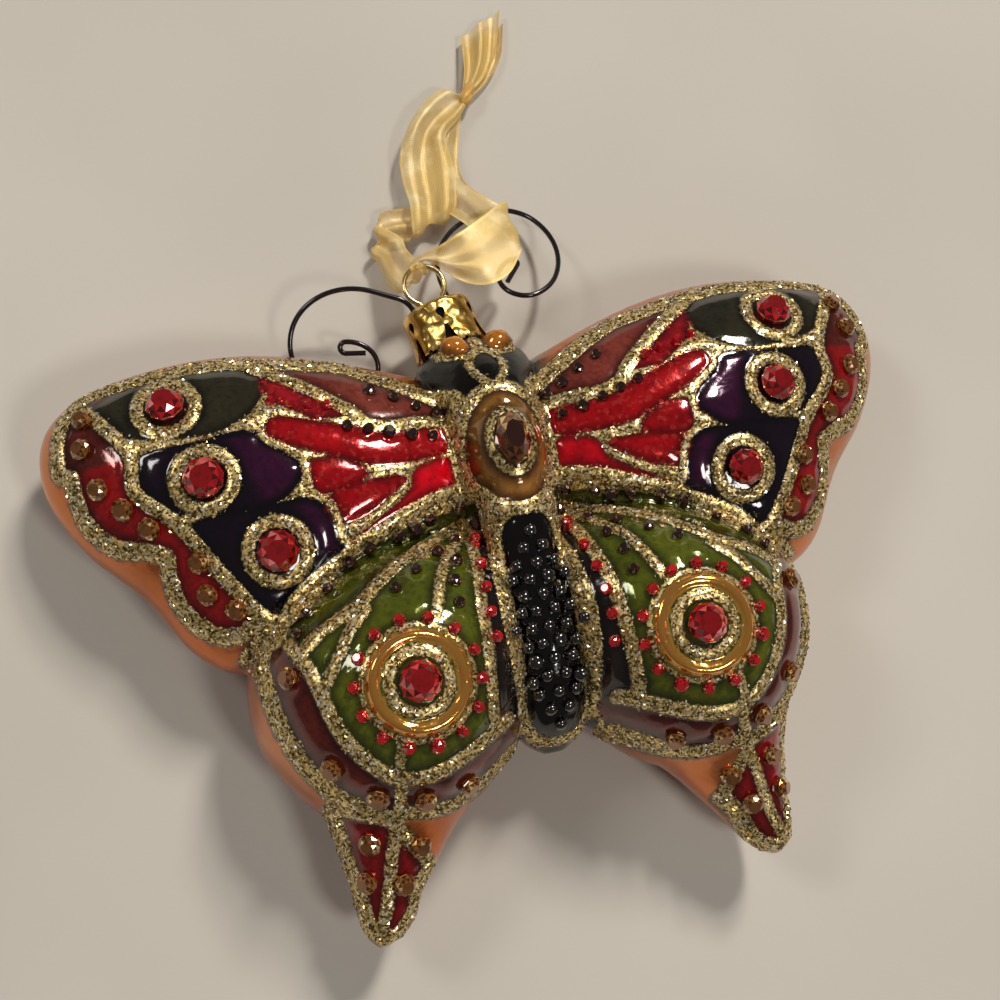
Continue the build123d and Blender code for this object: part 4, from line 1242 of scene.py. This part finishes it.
class ORNAMENT_OT_ribbon(bpy.types.Operator):
    """Builds the organza ribbon, its knot and its tails"""

    bl_idname = "ornament.ribbon"
    bl_label = "Build Ribbon"

    def execute(self, context):
        width = round(context.scene.ornament.ribbon_width, 6)
        colour = tuple(context.scene.ornament.ribbon_colour)
        sheer = organza_shade("organza", colour, 0.56, 0.0)
        bunched = organza_shade("bunched_organza", colour, 0.86, 0.75)
        knot = new_object("ribbon_knot_folds", knot_mesh("ribbon_knot_folds"))
        knot.data.materials.append(bunched)
        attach(knot, "ribbon")
        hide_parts("ribbon_knot")
        mesh, length = ribbon_mesh("ribbon_sheet", RIBBON_ROWS, width)
        mesh.materials.append(sheer)
        loop = new_object("ribbon_sheet", mesh)
        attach(loop, "ribbon")
        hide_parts("ribbon_loop")
        for number, rows in enumerate(TAIL_ROWS):
            name = "ribbon_tail_" + str(number + 1)
            mesh, length = ribbon_mesh(name, rows, width)
            mesh.materials.append(sheer)
            tail = new_object(name, mesh)
            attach(tail, "ribbon")
            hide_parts("ribbon_tails")
        return {"FINISHED"}


def add_light(name, kind, way, power, colour):
    """Light that shines from a way off towards the middle of the ornament."""
    data = bpy.data.lights.new(name, kind)
    data.energy = power
    data.color = colour
    lamp = new_object(name, data)
    lamp.rotation_euler = Vector(way).to_track_quat("Z", "Y").to_euler()
    return lamp


class ORNAMENT_OT_stage(bpy.types.Operator):
    """Adds the floor and the lights"""

    bl_idname = "ornament.stage"
    bl_label = "Add Stage"

    def execute(self, context):
        bm = bmesh.new()
        bmesh.ops.create_grid(bm, x_segments=2, y_segments=2, size=FLOOR_REACH)
        mesh = mesh_of("floor", bm)
        mesh.materials.append(floor_shade())
        new_object("floor", mesh)
        world = bpy.data.worlds.new("pale_room")
        world.use_nodes = True
        nodes, links = world.node_tree.nodes, world.node_tree.links
        nodes.clear()
        path = nodes.new("ShaderNodeLightPath")
        sky = nodes.new("ShaderNodeBackground")
        sky.inputs[0].default_value = (1.0, 0.97, 0.93, 1.0)
        sky.inputs[1].default_value = 0.10
        seen = nodes.new("ShaderNodeBackground")
        seen.inputs[0].default_value = WHITE
        mix = nodes.new("ShaderNodeMixShader")
        out = nodes.new("ShaderNodeOutputWorld")
        links.new(path.outputs["Is Camera Ray"], mix.inputs[0])
        links.new(sky.outputs[0], mix.inputs[1])
        links.new(seen.outputs[0], mix.inputs[2])
        links.new(mix.outputs[0], out.inputs[0])
        context.scene.world = world
        for name, place, size, power, colour in LAMPS:
            lamp = add_light(name, "AREA", place, power, colour)
            lamp.data.size = size
            lamp.location = place
        sun = add_light("sun", "SUN", SUN_WAY, 1.0, (1.0, 0.94, 0.85))
        sun.data.angle = math.radians(7.0)
        context.scene.view_settings.view_transform = "Standard"
        return {"FINISHED"}


class ORNAMENT_PT_panel(bpy.types.Panel):
    """Sidebar panel with the ornament's sizes and builders"""

    bl_idname = "ORNAMENT_PT_panel"
    bl_label = "Butterfly Ornament"
    bl_space_type = "VIEW_3D"
    bl_region_type = "UI"
    bl_category = "Ornament"

    def draw(self, context):
        sizes = context.scene.ornament
        for name in sizes.__annotations__:
            self.layout.prop(sizes, name)
        for operator in OPERATORS:
            self.layout.operator(operator.bl_idname)


OPERATORS = [ORNAMENT_OT_camera, ORNAMENT_OT_glass, ORNAMENT_OT_flakes, ORNAMENT_OT_stones,
             ORNAMENT_OT_metal, ORNAMENT_OT_stage, ORNAMENT_OT_ribbon]
CLASSES = [OrnamentSizes, *OPERATORS, ORNAMENT_PT_panel]


def register():
    for cls in CLASSES:
        bpy.utils.register_class(cls)
    bpy.types.Scene.ornament = bpy.props.PointerProperty(type=OrnamentSizes)


def unregister():
    del bpy.types.Scene.ornament
    for cls in reversed(CLASSES):
        bpy.utils.unregister_class(cls)


def main():
    register()
    bpy.ops.ornament.camera()
    bpy.ops.ornament.glass()
    bpy.ops.ornament.flakes()
    bpy.ops.ornament.stones()
    bpy.ops.ornament.metal()
    bpy.ops.ornament.stage()
    bpy.ops.ornament.ribbon()


if __name__ == "__main__":
    main()
